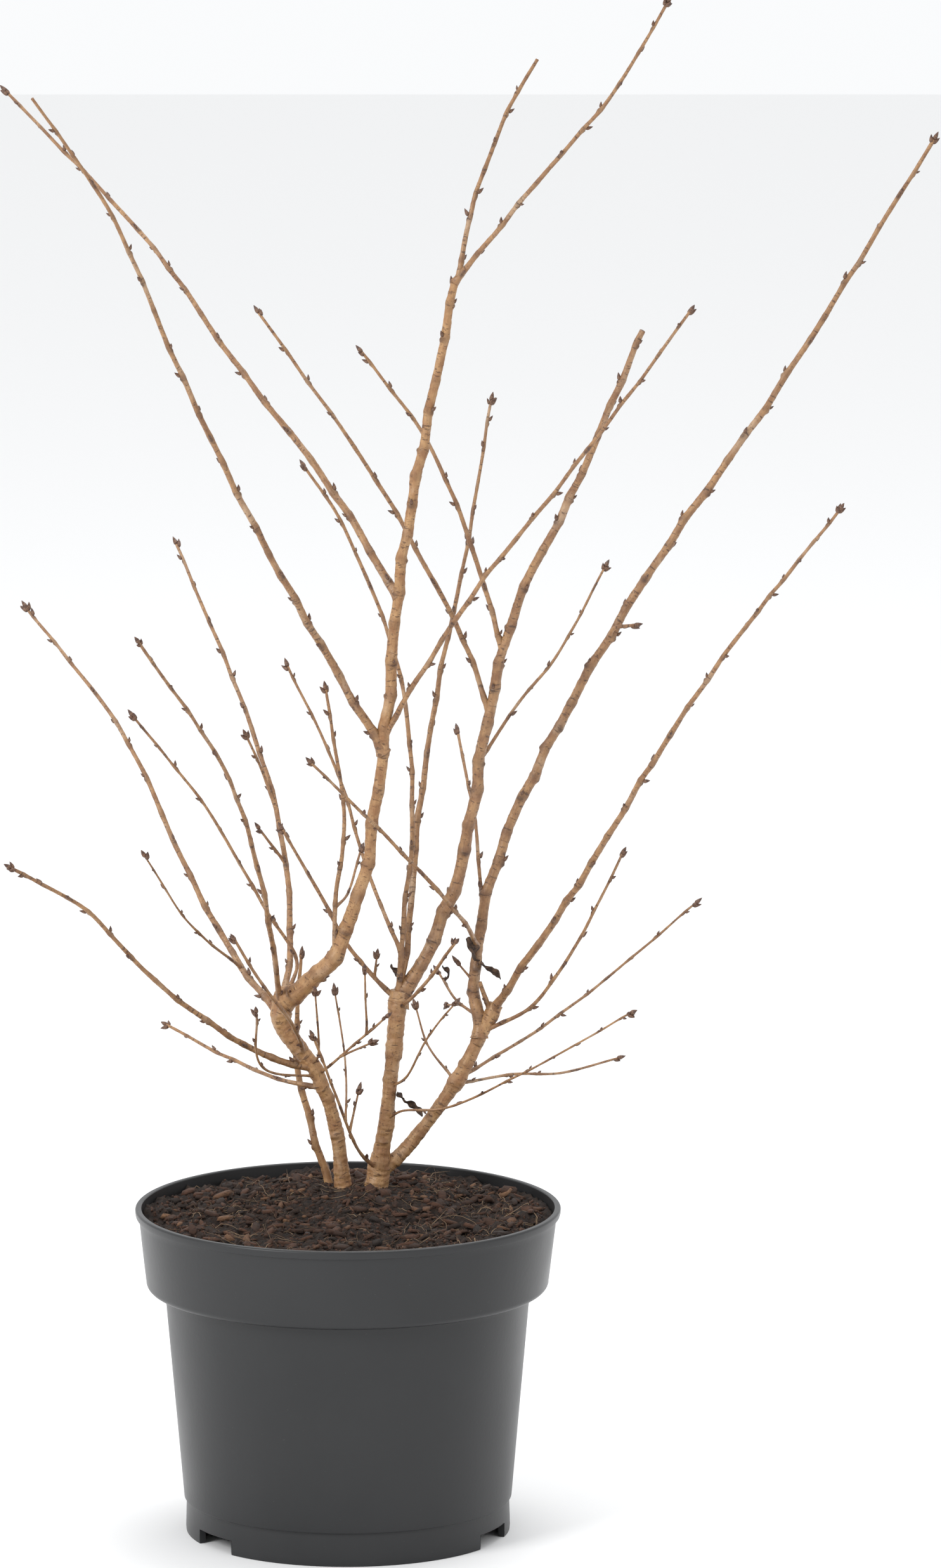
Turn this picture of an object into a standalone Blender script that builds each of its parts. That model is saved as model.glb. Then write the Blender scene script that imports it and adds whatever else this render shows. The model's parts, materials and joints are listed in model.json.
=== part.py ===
"""A bare flowering cherry shrub in a round nursery pot, at its real size.

Metres, +Z up, X to the right and Y to the back.  The origin is the middle of
the pot's flat underside, on the ground.  The plant is a set of limbs: each one
leaves a parent, runs smoothly through a few places and ends in a tip.  A limb's
thick lower stretch is a bough, and what lies beyond it is a mass of bare twigs.
"""

import math
import random
from collections import namedtuple

import bmesh
import bpy
from mathutils import Matrix, Vector, noise
from mathutils.bvhtree import BVHTree

NAME = "potted_cherry"
MM = 0.001

# Driving dimensions of the pot, in metres
RIM_RADIUS = 0.095
POT_HEIGHT = 0.147
WALL = 0.0015
LIP_OUT = 0.0013
LIP_HEIGHT = 0.0035
LIP_ROUND = 0.0006
BAND_BOTTOM = 0.1105
BAND_BOTTOM_RADIUS = 0.0893
BAND_CORNER = 0.003
CORNER_PARTS = 3
BODY_TOP_RADIUS = 0.0815
BODY_FOOT_RADIUS = 0.0732
FOOT_LINE = 0.0158
FOOT_STEP = 0.0006
FOOT_RADIUS = 0.0725
FOOT_WALL = 0.003
FOOT_SLOPE = 0.0008
FLOOR_UNDERSIDE = 0.007
FLOOR_THICKNESS = 0.002
MIDDLE_FOOT_RADIUS = 0.024
MIDDLE_FOOT_SLOPE = 0.002
NOTCH_HEIGHT = 0.0065
NOTCH_ANGLE = math.radians(20)
NOTCHES_AT = [math.radians(angle) for angle in (-25, 95, 215)]
POT_STEPS = 40

# The soil's surface: low along the wall, level and higher where the plant stands
SOIL_AT_WALL = 0.1425
GROUND = 0.148
PLANTED_AT = Vector((0.004, 0.038))
LEVEL_RADIUS = 0.021
MOUND_RADIUS = 0.058
SOIL_RINGS = 7
LUMP_SIZE = 0.016
LUMP_HEIGHT = 0.0013

# Clearance between pieces, and how finely limbs are made
GAP = 0.0003
SOIL_GAP = 0.00036
WELD = 0.00001
STEM_STEP = 0.009
TWIG_STEP = 0.017
CURVE_PARTS = 24
STEM_SIDES = 8
TWIG_SIDES = 6

# Buds on the twigs.  A twig's end swells into one: each pair is a reach beyond
# the tip and a share of the twig's radius there.
BUD_LENGTH = 0.0052
BUD_RADIUS = 0.0013
BUD_SPACING = 0.042
BUD_SCATTER = 0.2
FIRST_BUD = 0.7
BUD_LEAN = math.radians(32)
BUD_SINK = 0.3
BUD_SEAT = 0.6
BUD_SIZES = (0.8, 1.1)
BUD_TURN = math.radians(137.5)
TIP_SWELLS = [(-0.0045, 1.0), (-0.0012, 1.7), (0.0015, 1.2), (0.0040, 0.3)]
SEED = 5

SMOOTH_ANGLE = math.radians(50)

# A limb leaves its parent at a share of the parent's length.  Its route and
# its diameters are in millimetres: the route holds the places it runs through
# and then its tip, the diameters are evenly spaced from foot to tip.  Its first
# share is a bough and the rest a mass.  A limb with no bough share is all twigs.
Limb = namedtuple("Limb", "name parent share route across bough")

ROOT_MM = GROUND / MM - 4

STEMS = [
    Limb("left_stem", None, (-2, 36, ROOT_MM),
         [(-5, 34, 172), (-13, 31, 199), (-30, 29, 226), (-27, 28, 238)],
         (8.6, 6.8, 6.4, 6.6, 8.8, 8.6), 1),
    Limb("pale_stem", None, (-8, 42, ROOT_MM),
         [(-23, 45, 203), (-21, 50, 251)], (3.6, 3.4, 2.6, 1.6), 1),
    Limb("centre_stem", None, (12, 36, ROOT_MM),
         [(16, 35, 172), (19, 34, 197), (23, 33, 238)],
         (11.6, 8.2, 6.4, 6.4, 7.8, 7.2), 1),
    Limb("right_stem", "centre_stem", 0.10,
         [(27, 39, 166), (49, 41, 196), (66, 42, 230)], (6.8, 6.2, 6.4, 6.6), 1),
]

BOUGHS = [
    Limb("leader", "left_stem", 0.97,
         [(-11, 17, 250), (5, 9, 285), (18, -2, 369), (24, -10, 433), (48, -26, 564)],
         (8.2, 5.4, 5.2, 4.6, 3.8), 1),
    Limb("right_centre", "centre_stem", 0.93,
         [(31, 35, 246), (49, 29, 290), (63, 18, 366), (75, 10, 415), (100, 1, 468),
          (130, -13, 541)], (6.6, 5.8, 5.2, 4.2, 3.4, 2.8), 0.6),
    Limb("right", "right_stem", 0.82,
         [(57, 46, 248), (67, 53, 294), (89, 60, 343), (131, 71, 415), (195, 86, 506),
          (262, 102, 612)], (5.4, 4.8, 4.2, 3.6, 2.6, 1.8), 0.4),
    Limb("front_left", "leader", 0.38,
         [(-38, -35, 455), (-70, -60, 527), (-100, -87, 602), (-132, -107, 653)],
         (4.2, 3.0, 2.2, 1.4), 0.4),
    Limb("back_left", "leader", 0.585,
         [(-9, 13, 471), (-49, 35, 520), (-86, 57, 569), (-152, 89, 635)],
         (3.8, 2.8, 2.0, 1.4), 0.4),
    Limb("front_right", "right_stem", 0.97,
         [(101, 5, 289), (140, -40, 363), (168, -71, 411), (213, -114, 477)],
         (3.8, 3.0, 2.2, 1.4), 0.4),
    Limb("low_left", "left_stem", 0.61,
         [(-34, 20, 210), (-61, 0, 230), (-89, -19, 257), (-114, -38, 288), (-146, -60, 311)],
         (3.4, 2.6, 2.0, 1.6), 0.4),
    Limb("mid_left", "left_stem", 0.88,
         [(-49, 42, 249), (-70, 59, 283), (-102, 86, 346), (-146, 116, 398)], (3.4, 2.6, 2.0, 1.4), 0.35),
    Limb("rear_left", "left_stem", 0.90,
         [(-26, 58, 257), (-31, 82, 303), (-46, 109, 349), (-79, 149, 422)],
         (3.4, 2.6, 2.0, 1.4), 0.22),
    Limb("centre", "centre_stem", 0.97,
         [(27, 37, 262), (31, 45, 310), (41, 55, 376), (52, 63, 427), (64, 75, 498)],
         (2.8, 3.0, 2.4, 1.8, 1.4), 0.45),
]

TWIGS = [
    Limb("leader_top_twigs", "leader", 1,
         [(84, -49, 611), (116, -68, 651), (139, -87, 692)], (2.6, 2.2, 1.8, 1.4), 0),
    Limb("crossing_twigs", "leader", 0.40,
         [(26, -10, 377), (59, -45, 434), (88, -75, 475), (125, -115, 530), (148, -141, 566)],
         (2.6, 2.2, 1.8, 1.4), 0),
    Limb("forward_left_twigs", "left_stem", 0.93,
         [(-38, -18, 299), (-52, -53, 352), (-88, -100, 417)], (2.8, 2.4, 1.8, 1.4), 0),
    Limb("thin_left_twigs", "left_stem", 1,
         [(-23, 39, 250), (-38, 39, 276), (-63, 33, 321), (-95, 28, 363)],
         (1.8, 1.5, 1.2), 0),
    Limb("inner_left_twigs", "leader", 0.10,
         [(-5, 11, 286), (-1, 6, 317), (-9, -6, 381)], (2.3, 1.9, 1.4), 0),
    Limb("short_left_twigs", "centre_stem", 0.95,
         [(12, 36, 243), (1, 39, 256), (-15, 40, 285), (-29, 39, 310)], (2.3, 1.9, 1.4), 0),
    Limb("centre_left_twigs", "centre_stem", 0.99,
         [(25, 28, 272), (29, 29, 313), (23, 37, 382), (-5, 51, 451), (-19, 55, 471)],
         (2.6, 2.2, 1.8, 1.4), 0),
    Limb("upper_centre_twigs", "right_centre", 0.52,
         [(63, 11, 417), (53, 10, 449), (35, 12, 490), (7, 14, 528)], (2.5, 2.0, 1.4), 0),
    Limb("long_centre_twigs", "right_centre", 0.43,
         [(52, 20, 398), (36, 24, 429), (12, 33, 470), (-39, 48, 541)], (2.5, 2.0, 1.4), 0),
    Limb("rear_right_twigs", "right_centre", 0.36,
         [(77, 35, 369), (94, 50, 388), (115, 75, 423)], (1.7, 1.4, 1.1), 0),
    Limb("behind_centre_twigs", "right", 0.12,
         [(57, 60, 308), (49, 89, 346)], (1.8, 1.4), 0),
    Limb("diagonal_twigs", "right", 0.09,
         [(50, 16, 275), (25, -9, 308), (-15, -40, 354)], (2.3, 1.8, 1.2), 0),
    Limb("short_right_twigs", "right_stem", 0.85,
         [(82, 33, 231), (103, 18, 264), (122, 1, 306)], (2.0, 1.6, 1.2), 0),
    Limb("low_right_twigs", "right_stem", 0.60,
         [(83, 66, 212), (114, 92, 230), (157, 116, 262)], (1.7, 1.4, 1.1), 0),
    Limb("front_low_right_twigs", "centre_stem", 0.37,
         [(24, 24, 185), (42, 14, 188), (82, -18, 213), (125, -53, 245)], (1.2, 1.1, 0.9), 0),
    Limb("lowest_right_twigs", "right_stem", 0.57,
         [(76, 52, 196), (96, 60, 195), (121, 68, 200)], (1.5, 1.3, 1.1), 0),
    Limb("thorn_twigs", "right_stem", 0.58,
         [(36, 56, 208), (30, 68, 224)], (1.4, 1.1, 0.9), 0),
    Limb("centre_side_twigs", "centre_stem", 0.53,
         [(26, 25, 200), (36, 14, 221), (48, 4, 238)], (1.2, 0.9), 0),
    Limb("dead_twigs", "right", 0.02,
         [(48, 55, 230), (40, 68, 240)], (1.5, 1.1), 0),
    Limb("dead_spike_twigs", "right", 0.055,
         [(49, 47, 248)], (1.1, 0.9), 0),
    Limb("stub_twigs", "right_stem", 0.95,
         [(59, 37, 241)], (2.2, 2.0), 0),
    Limb("centre_spur_twigs", "centre_stem", 0.91,
         [(31, 17, 240), (48, -10, 268)], (1.8, 1.5), 0),
    Limb("base_twigs", "centre_stem", 0.12,
         [(4, 21, 169), (-6, 8, 198), (-15, -2, 224)], (1.7, 1.4, 1.2), 0),
    Limb("knot_twigs", "left_stem", 0.57,
         [(-6, 21, 208), (17, 12, 230)], (1.3, 1.1), 0),
    Limb("knot_spur_twigs", "left_stem", 0.63,
         [(-13, 18, 212), (-14, -2, 244)], (1.3, 0.9), 0),
    Limb("rear_low_left_twigs", "left_stem", 0.50,
         [(-28, 37, 196), (-55, 66, 201), (-83, 95, 210)], (2.2, 1.8, 1.4), 0),
    Limb("small_left_twigs", "left_stem", 0.56,
         [(-38, 5, 209), (-40, -13, 237)], (1.2, 1.1), 0),
    Limb("front_knot_twigs", "left_stem", 0.68,
         [(-24, 5, 228), (-36, -13, 248), (-49, -29, 273)], (2.0, 1.7, 1.4), 0),
    Limb("low_inner_left_twigs", "mid_left", 0.13,
         [(-70, 14, 272), (-89, -6, 306)], (1.5, 1.1, 0.9), 0),
]

# Side shoots, each fused to the mass that it leaves
SIDE_SHOOTS = [
    Limb("leader_cut_top", "leader_top_twigs", 0.02,
         [(55, -17, 594), (73, 0, 640), (84, 6, 658)], (2.4, 2.0, 1.7), 0),
    Limb("rear_left_fork", "rear_left_twigs", 0.27,
         [(-39, 90, 327), (-46, 82, 345)], (1.4, 1.2), 0),
    Limb("rear_left_spur", "rear_left_twigs", 0.13,
         [(-40, 68, 305)], (1.4, 1.2), 0),
    Limb("inner_left_fork", "inner_left_twigs", 0.18,
         [(0, 22, 284), (6, 39, 301)], (1.3, 1.1), 0),
    Limb("centre_left_fork", "centre_left_twigs", 0.08,
         [(10, 48, 286), (-5, 59, 333), (-27, 68, 379)], (2.0, 1.6, 1.2), 0),
    Limb("right_spur", "right_twigs", 0.03,
         [(119, 63, 397), (128, 60, 399)], (1.8, 1.6), 0),
    Limb("base_fork", "base_twigs", 0.45,
         [(-1, 28, 205), (-6, 41, 236)], (1.0, 0.9), 0),
    Limb("base_thorn", "base_twigs", 0.38,
         [(5, 16, 196)], (1.1, 0.9), 0),
    Limb("knot_fork", "knot_twigs", 0.75,
         [(8, -2, 254)], (1.1, 0.9), 0),
    Limb("knot_thorn", "knot_twigs", 0.40,
         [(11, 10, 219)], (1.0, 0.9), 0),
    Limb("short_left_thorn", "short_left_twigs", 0.16,
         [(13, 32, 254)], (1.1, 0.9), 0),
    Limb("dead_fork", "dead_twigs", 0.35,
         [(44, 71, 224)], (1.2, 0.9), 0),
]


def clear_scene():
    """Remove every object that the file opens with."""
    for thing in list(bpy.data.objects):
        bpy.data.objects.remove(thing)


def collection(name):
    """A new collection in the scene."""
    group = bpy.data.collections.new(name)
    bpy.context.scene.collection.children.link(group)
    return group


def material(name, colour, roughness):
    """A plain Principled material in one colour."""
    finish = bpy.data.materials.new(name)
    finish.use_nodes = True
    shader = finish.node_tree.nodes["Principled BSDF"]
    shader.inputs["Base Color"].default_value = (*colour, 1)
    shader.inputs["Roughness"].default_value = roughness
    shader.inputs["Metallic"].default_value = 0
    finish.diffuse_color = (*colour, 1)
    return finish


def evaluated_mesh(thing):
    """The mesh of an object as its modifiers leave it."""
    depsgraph = bpy.context.evaluated_depsgraph_get()
    return bpy.data.meshes.new_from_object(thing.evaluated_get(depsgraph))


def apply_modifiers(thing):
    """Keep what the modifiers make as the object's own mesh."""
    mesh = evaluated_mesh(thing)
    thing.modifiers.clear()
    thing.data = mesh


def drop_scraps(mesh):
    """Keep only the largest connected body of a mesh."""
    shape = bmesh.new()
    shape.from_mesh(mesh)
    left = set(shape.verts)
    bodies = []
    while left:
        body = {left.pop()}
        edge_of_body = list(body)
        while edge_of_body:
            vert = edge_of_body.pop()
            for edge in vert.link_edges:
                other = edge.other_vert(vert)
                if other in left:
                    left.remove(other)
                    body.add(other)
                    edge_of_body.append(other)
        bodies.append(body)
    bodies.sort(key=len)
    for scrap in bodies[:-1]:
        bmesh.ops.delete(shape, geom=list(scrap), context="VERTS")
    shape.to_mesh(mesh)
    shape.free()


def smooth_curve(points, step):
    """Places every step along a centripetal Catmull-Rom curve through the points."""
    ends = [2 * points[0] - points[1]] + points + [2 * points[-1] - points[-2]]
    fine = [points[0]]
    for before, start, end, after in zip(ends, ends[1:], ends[2:], ends[3:]):
        a, b, c = [math.sqrt((q - p).length) for p, q in
                   ((before, start), (start, end), (end, after))]
        leaving = ((start - before) / a - (end - before) / (a + b) + (end - start) / b) * b
        arriving = ((end - start) / b - (after - start) / (b + c) + (after - end) / c) * b
        for part in range(1, CURVE_PARTS + 1):
            t = part / CURVE_PARTS
            fine.append((2 * t**3 - 3 * t**2 + 1) * start + (t**3 - 2 * t**2 + t) * leaving
                        + (3 * t**2 - 2 * t**3) * end + (t**3 - t**2) * arriving)
    lengths = [0.0]
    for p, q in zip(fine, fine[1:]):
        lengths.append(lengths[-1] + (q - p).length)
    count = max(2, round(lengths[-1] / step))
    spaced = []
    place = 0
    for number in range(count + 1):
        along = lengths[-1] * number / count
        while place < len(lengths) - 2 and lengths[place + 1] < along:
            place += 1
        part = (along - lengths[place]) / (lengths[place + 1] - lengths[place])
        spaced.append(fine[place].lerp(fine[place + 1], min(max(part, 0), 1)))
    return spaced


def spread(values, share):
    """A value read at a share of the way along an evenly spaced row of values."""
    place = min(max(share, 0), 1) * (len(values) - 1)
    low = min(int(place), len(values) - 2)
    return values[low] + (values[low + 1] - values[low]) * (place - low)


def point_at(centreline, share):
    """A place at a share of the way along a centreline of evenly spaced points."""
    place = min(max(share, 0), 1) * (len(centreline) - 1)
    low = min(int(place), len(centreline) - 2)
    return centreline[low].lerp(centreline[low + 1], place - low)


def tube(name, centreline, radii, sides):
    """A closed tapering tube along a centreline, as a mesh with welded caps."""
    curve = bpy.data.curves.new(name, "CURVE")
    curve.dimensions = "3D"
    curve.bevel_depth = 1
    curve.bevel_resolution = (sides - 4) // 2
    curve.use_fill_caps = True
    spline = curve.splines.new("POLY")
    spline.points.add(len(centreline) - 1)
    for point, place, radius in zip(spline.points, centreline, radii):
        point.co = (*place, 1)
        point.radius = radius
    bent = bpy.data.objects.new(name + "_curve", curve)
    bpy.context.scene.collection.objects.link(bent)
    mesh = evaluated_mesh(bent)
    bpy.data.objects.remove(bent)
    shape = bmesh.new()
    shape.from_mesh(mesh)
    bmesh.ops.remove_doubles(shape, verts=shape.verts, dist=WELD)
    bmesh.ops.recalc_face_normals(shape, faces=shape.faces)
    shape.to_mesh(mesh)
    shape.free()
    thing = bpy.data.objects.new(name, mesh)
    bpy.context.scene.collection.objects.link(thing)
    return thing


def boolean(thing, operation, other, solver="EXACT"):
    """Cut or join an object with another one or with a collection, and apply it."""
    step = thing.modifiers.new("boolean", "BOOLEAN")
    step.operation = operation
    step.solver = solver
    if isinstance(other, bpy.types.Collection):
        step.operand_type = "COLLECTION"
        step.collection = other
    else:
        step.object = other
    apply_modifiers(thing)


def tree_of(thing):
    """The faces of an object in place, ready for overlap tests."""
    bpy.context.view_layer.update()
    shape = bmesh.new()
    shape.from_mesh(thing.data)
    shape.transform(thing.matrix_world)
    tree = BVHTree.FromBMesh(shape)
    shape.free()
    return tree


def block_cutter(name, place, size, angle, guides):
    """A rectangular block that cuts and isn't part of the object."""
    bpy.ops.mesh.primitive_cube_add(size=1, location=place, rotation=(0, 0, angle))
    cutter = bpy.context.object
    cutter.name = name
    cutter.scale = size
    for group in list(cutter.users_collection):
        group.objects.unlink(cutter)
    guides.objects.link(cutter)
    cutter.hide_render = True
    cutter.display_type = "WIRE"
    return cutter


def ground_cutter(guides):
    """The block below the soil's level spot: it gives every stem its flat cut."""
    top = GROUND + GAP
    side = 4 * LEVEL_RADIUS
    place = (PLANTED_AT.x, PLANTED_AT.y, top - LEVEL_RADIUS / 2)
    return block_cutter("ground_cutter", place, (side, side, LEVEL_RADIUS), 0, guides)


class Plant:
    """The limbs made so far: their centrelines and their copies grown by the gap."""

    def __init__(self, group, guides):
        self.group = group
        self.guides = guides
        self.centrelines = {}
        self.grown = [ground_cutter(guides)]

    def route(self, limb, step):
        """The centreline of a limb, from a place on its parent to its tip."""
        if limb.parent is None:
            foot = Vector(limb.share) * MM
        else:
            foot = point_at(self.centrelines[limb.parent], limb.share)
        return smooth_curve([foot] + [Vector(place) * MM for place in limb.route], step)

    def measure(self, limb, step):
        """Work out a limb's centreline and radii, and keep them for its children."""
        centreline = self.route(limb, step)
        last = len(centreline) - 1
        radii = [spread(limb.across, n / last) / 2 * MM for n in range(last + 1)]
        self.centrelines[limb.name] = centreline
        return centreline, radii

    def solid(self, name, centreline, radii, sides, finish):
        """A limb's tube, cut clear of every earlier limb that it would touch."""
        thing = tube(name, centreline, radii, sides)
        for cutter in self.grown:
            if tree_of(cutter).overlap(tree_of(thing)):
                boolean(thing, "DIFFERENCE", cutter)
        drop_scraps(thing.data)
        thing.data.materials.clear()
        thing.data.materials.append(finish)
        return thing

    def keep(self, thing, centreline, radii, sides):
        """Move a finished solid into its collection and keep a grown copy as a guide."""
        bpy.context.scene.collection.objects.unlink(thing)
        self.group.objects.link(thing)
        thing.data.shade_smooth()
        thing.data.set_sharp_from_angle(angle=SMOOTH_ANGLE)
        ahead = (centreline[-1] - centreline[-2]).normalized() * GAP
        behind = (centreline[0] - centreline[1]).normalized() * GAP
        longer = [centreline[0] + behind] + centreline[1:-1] + [centreline[-1] + ahead]
        wider = [radius + GAP / math.cos(math.pi / sides) for radius in radii]
        guide = tube(thing.name + "_clearance", longer, wider, sides)
        bpy.context.scene.collection.objects.unlink(guide)
        self.guides.objects.link(guide)
        guide.hide_render = True
        guide.display_type = "WIRE"
        self.grown.append(guide)


def bud(name, root, direction, size):
    """A pointed bud: a four-sided cone that leans out of the twig."""
    length = BUD_LENGTH * size
    shape = bmesh.new()
    bmesh.ops.create_cone(shape, cap_ends=True, segments=4, radius1=BUD_RADIUS * size,
                          radius2=0, depth=length)
    turn = direction.to_track_quat("Z", "Y").to_matrix().to_4x4()
    centre = root + direction * length * (0.5 - BUD_SINK)
    bmesh.ops.transform(shape, matrix=Matrix.Translation(centre) @ turn, verts=shape.verts)
    mesh = bpy.data.meshes.new(name)
    shape.to_mesh(mesh)
    shape.free()
    return bpy.data.objects.new(name, mesh)


def buds_along(name, centreline, radii, chance):
    """Buds set alternately round a twig."""
    made = []
    steps = len(centreline) - 1
    length = sum((q - p).length for p, q in zip(centreline, centreline[1:]))
    count = int(length / BUD_SPACING)
    turn = chance.uniform(0, math.tau)
    for number in range(count):
        place = number + FIRST_BUD + chance.uniform(-BUD_SCATTER, BUD_SCATTER)
        share = place / (count + FIRST_BUD)
        low = min(int(share * steps), steps - 1)
        along = (centreline[low + 1] - centreline[low]).normalized()
        side = along.orthogonal().normalized()
        side.rotate(Matrix.Rotation(turn + number * BUD_TURN, 3, along))
        root = point_at(centreline, share) + side * radii[low] * BUD_SEAT
        lean = (along * math.cos(BUD_LEAN) + side * math.sin(BUD_LEAN)).normalized()
        made.append(bud(f"{name}_bud_{number}", root, lean, chance.uniform(*BUD_SIZES)))
    return made


def with_end_bud(centreline, radii):
    """A twig's centreline and radii, with its end swollen into a pointed bud."""
    tip = centreline[-1]
    along = (tip - centreline[-2]).normalized()
    line = centreline[:-1] + [tip + along * reach for reach, _ in TIP_SWELLS]
    return line, radii[:-1] + [radii[-1] * swell for _, swell in TIP_SWELLS]


def fuse(thing, pieces):
    """Join loose pieces to a solid in one union on their own collection."""
    together = collection(thing.name + "_pieces")
    for piece in pieces:
        for group in list(piece.users_collection):
            group.objects.unlink(piece)
        together.objects.link(piece)
    boolean(thing, "UNION", together)
    for piece in pieces:
        bpy.data.objects.remove(piece)
    bpy.data.collections.remove(together)
    drop_scraps(thing.data)


def twig_mass(plant, name, centreline, radii, finish, chance):
    """One mass: a stem with its side shoots and buds, fused into a single solid."""
    line, swollen = with_end_bud(centreline, radii)
    stem = plant.solid(name, line, swollen, TWIG_SIDES, finish)
    pieces = buds_along(name, centreline, radii, chance)
    plant.centrelines[name] = centreline
    for shoot in [limb for limb in SIDE_SHOOTS if limb.parent == name]:
        side_line, side_radii = plant.measure(shoot, TWIG_STEP)
        pieces.append(tube(shoot.name, *with_end_bud(side_line, side_radii), TWIG_SIDES))
        pieces += buds_along(shoot.name, side_line[1:], side_radii[1:], chance)
    fuse(stem, pieces)
    plant.keep(stem, line, swollen, TWIG_SIDES)


def build_limbs(group, guides):
    """Stems first, then boughs, then every mass of twigs, thick before thin."""
    bark = material("bark", (0.42, 0.29, 0.17), 0.6)
    twig_bark = material("twig_bark", (0.36, 0.24, 0.14), 0.55)
    plant = Plant(group, guides)
    chance = random.Random(SEED)
    for limb in STEMS:
        centreline, radii = plant.measure(limb, STEM_STEP)
        plant.keep(plant.solid(limb.name, centreline, radii, STEM_SIDES, bark),
                   centreline, radii, STEM_SIDES)
    outer = []
    for limb in BOUGHS:
        centreline, radii = plant.measure(limb, TWIG_STEP)
        last = len(centreline) - 1
        end = round(limb.bough * last)
        name = limb.name if limb.bough == 1 else limb.name + "_bough"
        lower = centreline[:end + 1], radii[:end + 1]
        plant.keep(plant.solid(name, *lower, STEM_SIDES, bark), *lower, STEM_SIDES)
        if end < last:
            beyond = centreline[end:]
            beyond[0] = beyond[0] + (beyond[1] - beyond[0]).normalized() * GAP
            outer.append((limb.name + "_twigs", beyond, radii[end:]))
    for name, centreline, radii in outer:
        twig_mass(plant, name, centreline, radii, twig_bark, chance)
    for limb in TWIGS:
        centreline, radii = plant.measure(limb, TWIG_STEP)
        twig_mass(plant, limb.name, centreline, radii, twig_bark, chance)


def wall_radius(height):
    """The pot's outer radius at a height, on its body and on its band."""
    if height < BAND_BOTTOM:
        rise = (height - FOOT_LINE) / (BAND_BOTTOM - FOOT_LINE)
        return BODY_FOOT_RADIUS + (BODY_TOP_RADIUS - BODY_FOOT_RADIUS) * rise
    rise = (height - BAND_BOTTOM) / (POT_HEIGHT - BAND_BOTTOM)
    return BAND_BOTTOM_RADIUS + (RIM_RADIUS - LIP_OUT - BAND_BOTTOM_RADIUS) * rise


def inner_profile():
    """The inside of the pot from the floor's middle up to the lip, as radius and height."""
    floor = FLOOR_UNDERSIDE + FLOOR_THICKNESS
    shelf = BAND_BOTTOM + WALL
    return [
        (0, floor),
        (FOOT_RADIUS - FOOT_WALL, floor),
        (wall_radius(FOOT_LINE) - WALL, FOOT_LINE),
        (BODY_TOP_RADIUS - WALL, shelf),
        (BAND_BOTTOM_RADIUS - BAND_CORNER, shelf),
        (wall_radius(shelf + BAND_CORNER) - WALL, shelf + BAND_CORNER),
        (RIM_RADIUS - LIP_OUT - WALL, POT_HEIGHT - LIP_HEIGHT),
    ]


def outer_profile():
    """The outside of the pot from its lip down to the middle of its underside."""
    corner_height = BAND_BOTTOM + BAND_CORNER
    lip_foot = POT_HEIGHT - LIP_HEIGHT
    corner = []
    for part in range(CORNER_PARTS + 1):
        angle = math.radians(90) * part / CORNER_PARTS
        corner.append((wall_radius(corner_height) - BAND_CORNER * (1 - math.cos(angle)),
                       corner_height - BAND_CORNER * math.sin(angle)))
    return [
        (RIM_RADIUS - LIP_OUT - WALL + LIP_ROUND, POT_HEIGHT - LIP_ROUND),
        (RIM_RADIUS - 2 * LIP_ROUND, POT_HEIGHT),
        (RIM_RADIUS - LIP_ROUND / 2, POT_HEIGHT - LIP_ROUND),
        (RIM_RADIUS, POT_HEIGHT - 3 * LIP_ROUND),
        (RIM_RADIUS - LIP_ROUND, lip_foot),
        (wall_radius(lip_foot), lip_foot - LIP_ROUND),
        *corner,
        (BODY_TOP_RADIUS, BAND_BOTTOM),
        (BODY_FOOT_RADIUS, FOOT_LINE),
        (BODY_FOOT_RADIUS - FOOT_STEP, FOOT_LINE - FOOT_STEP),
        (FOOT_RADIUS, 0),
        (FOOT_RADIUS - FOOT_WALL, 0),
        (FOOT_RADIUS - FOOT_WALL - FOOT_SLOPE, FLOOR_UNDERSIDE),
        (MIDDLE_FOOT_RADIUS + MIDDLE_FOOT_SLOPE, FLOOR_UNDERSIDE),
        (MIDDLE_FOOT_RADIUS, 0),
        (0, 0),
    ]


def turned(name, profile):
    """A solid of revolution about the pot's axis."""
    mesh = bpy.data.meshes.new(name)
    mesh.from_pydata([(radius, 0, height) for radius, height in profile],
                     [(n, n + 1) for n in range(len(profile) - 1)], [])
    thing = bpy.data.objects.new(name, mesh)
    bpy.context.scene.collection.objects.link(thing)
    screw = thing.modifiers.new("turn", "SCREW")
    screw.axis = "Z"
    screw.steps = POT_STEPS
    screw.render_steps = POT_STEPS
    screw.use_merge_vertices = True
    screw.merge_threshold = WELD
    screw.use_smooth_shade = True
    return thing


def drain_cutter(number, angle, guides):
    """A block that opens one drainage notch in the foot ring."""
    width = 2 * math.tan(NOTCH_ANGLE / 2) * FOOT_RADIUS
    place = (math.cos(angle) * FOOT_RADIUS, math.sin(angle) * FOOT_RADIUS, 0)
    size = (FOOT_WALL * 3, width, 2 * NOTCH_HEIGHT)
    return block_cutter(f"notch_cutter_{number}", place, size, angle, guides)


def build_pot(group, guides):
    """The thin-walled pot, with its stepped band, rolled lip and three-part foot."""
    pot = turned("pot", inner_profile() + outer_profile())
    bpy.context.scene.collection.objects.unlink(pot)
    group.objects.link(pot)
    for number, angle in enumerate(NOTCHES_AT):
        notch = pot.modifiers.new("notch", "BOOLEAN")
        notch.operation = "DIFFERENCE"
        notch.object = drain_cutter(number, angle, guides)
    pot.data.materials.append(material("pot_plastic", (0.045, 0.05, 0.053), 0.5))


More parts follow.
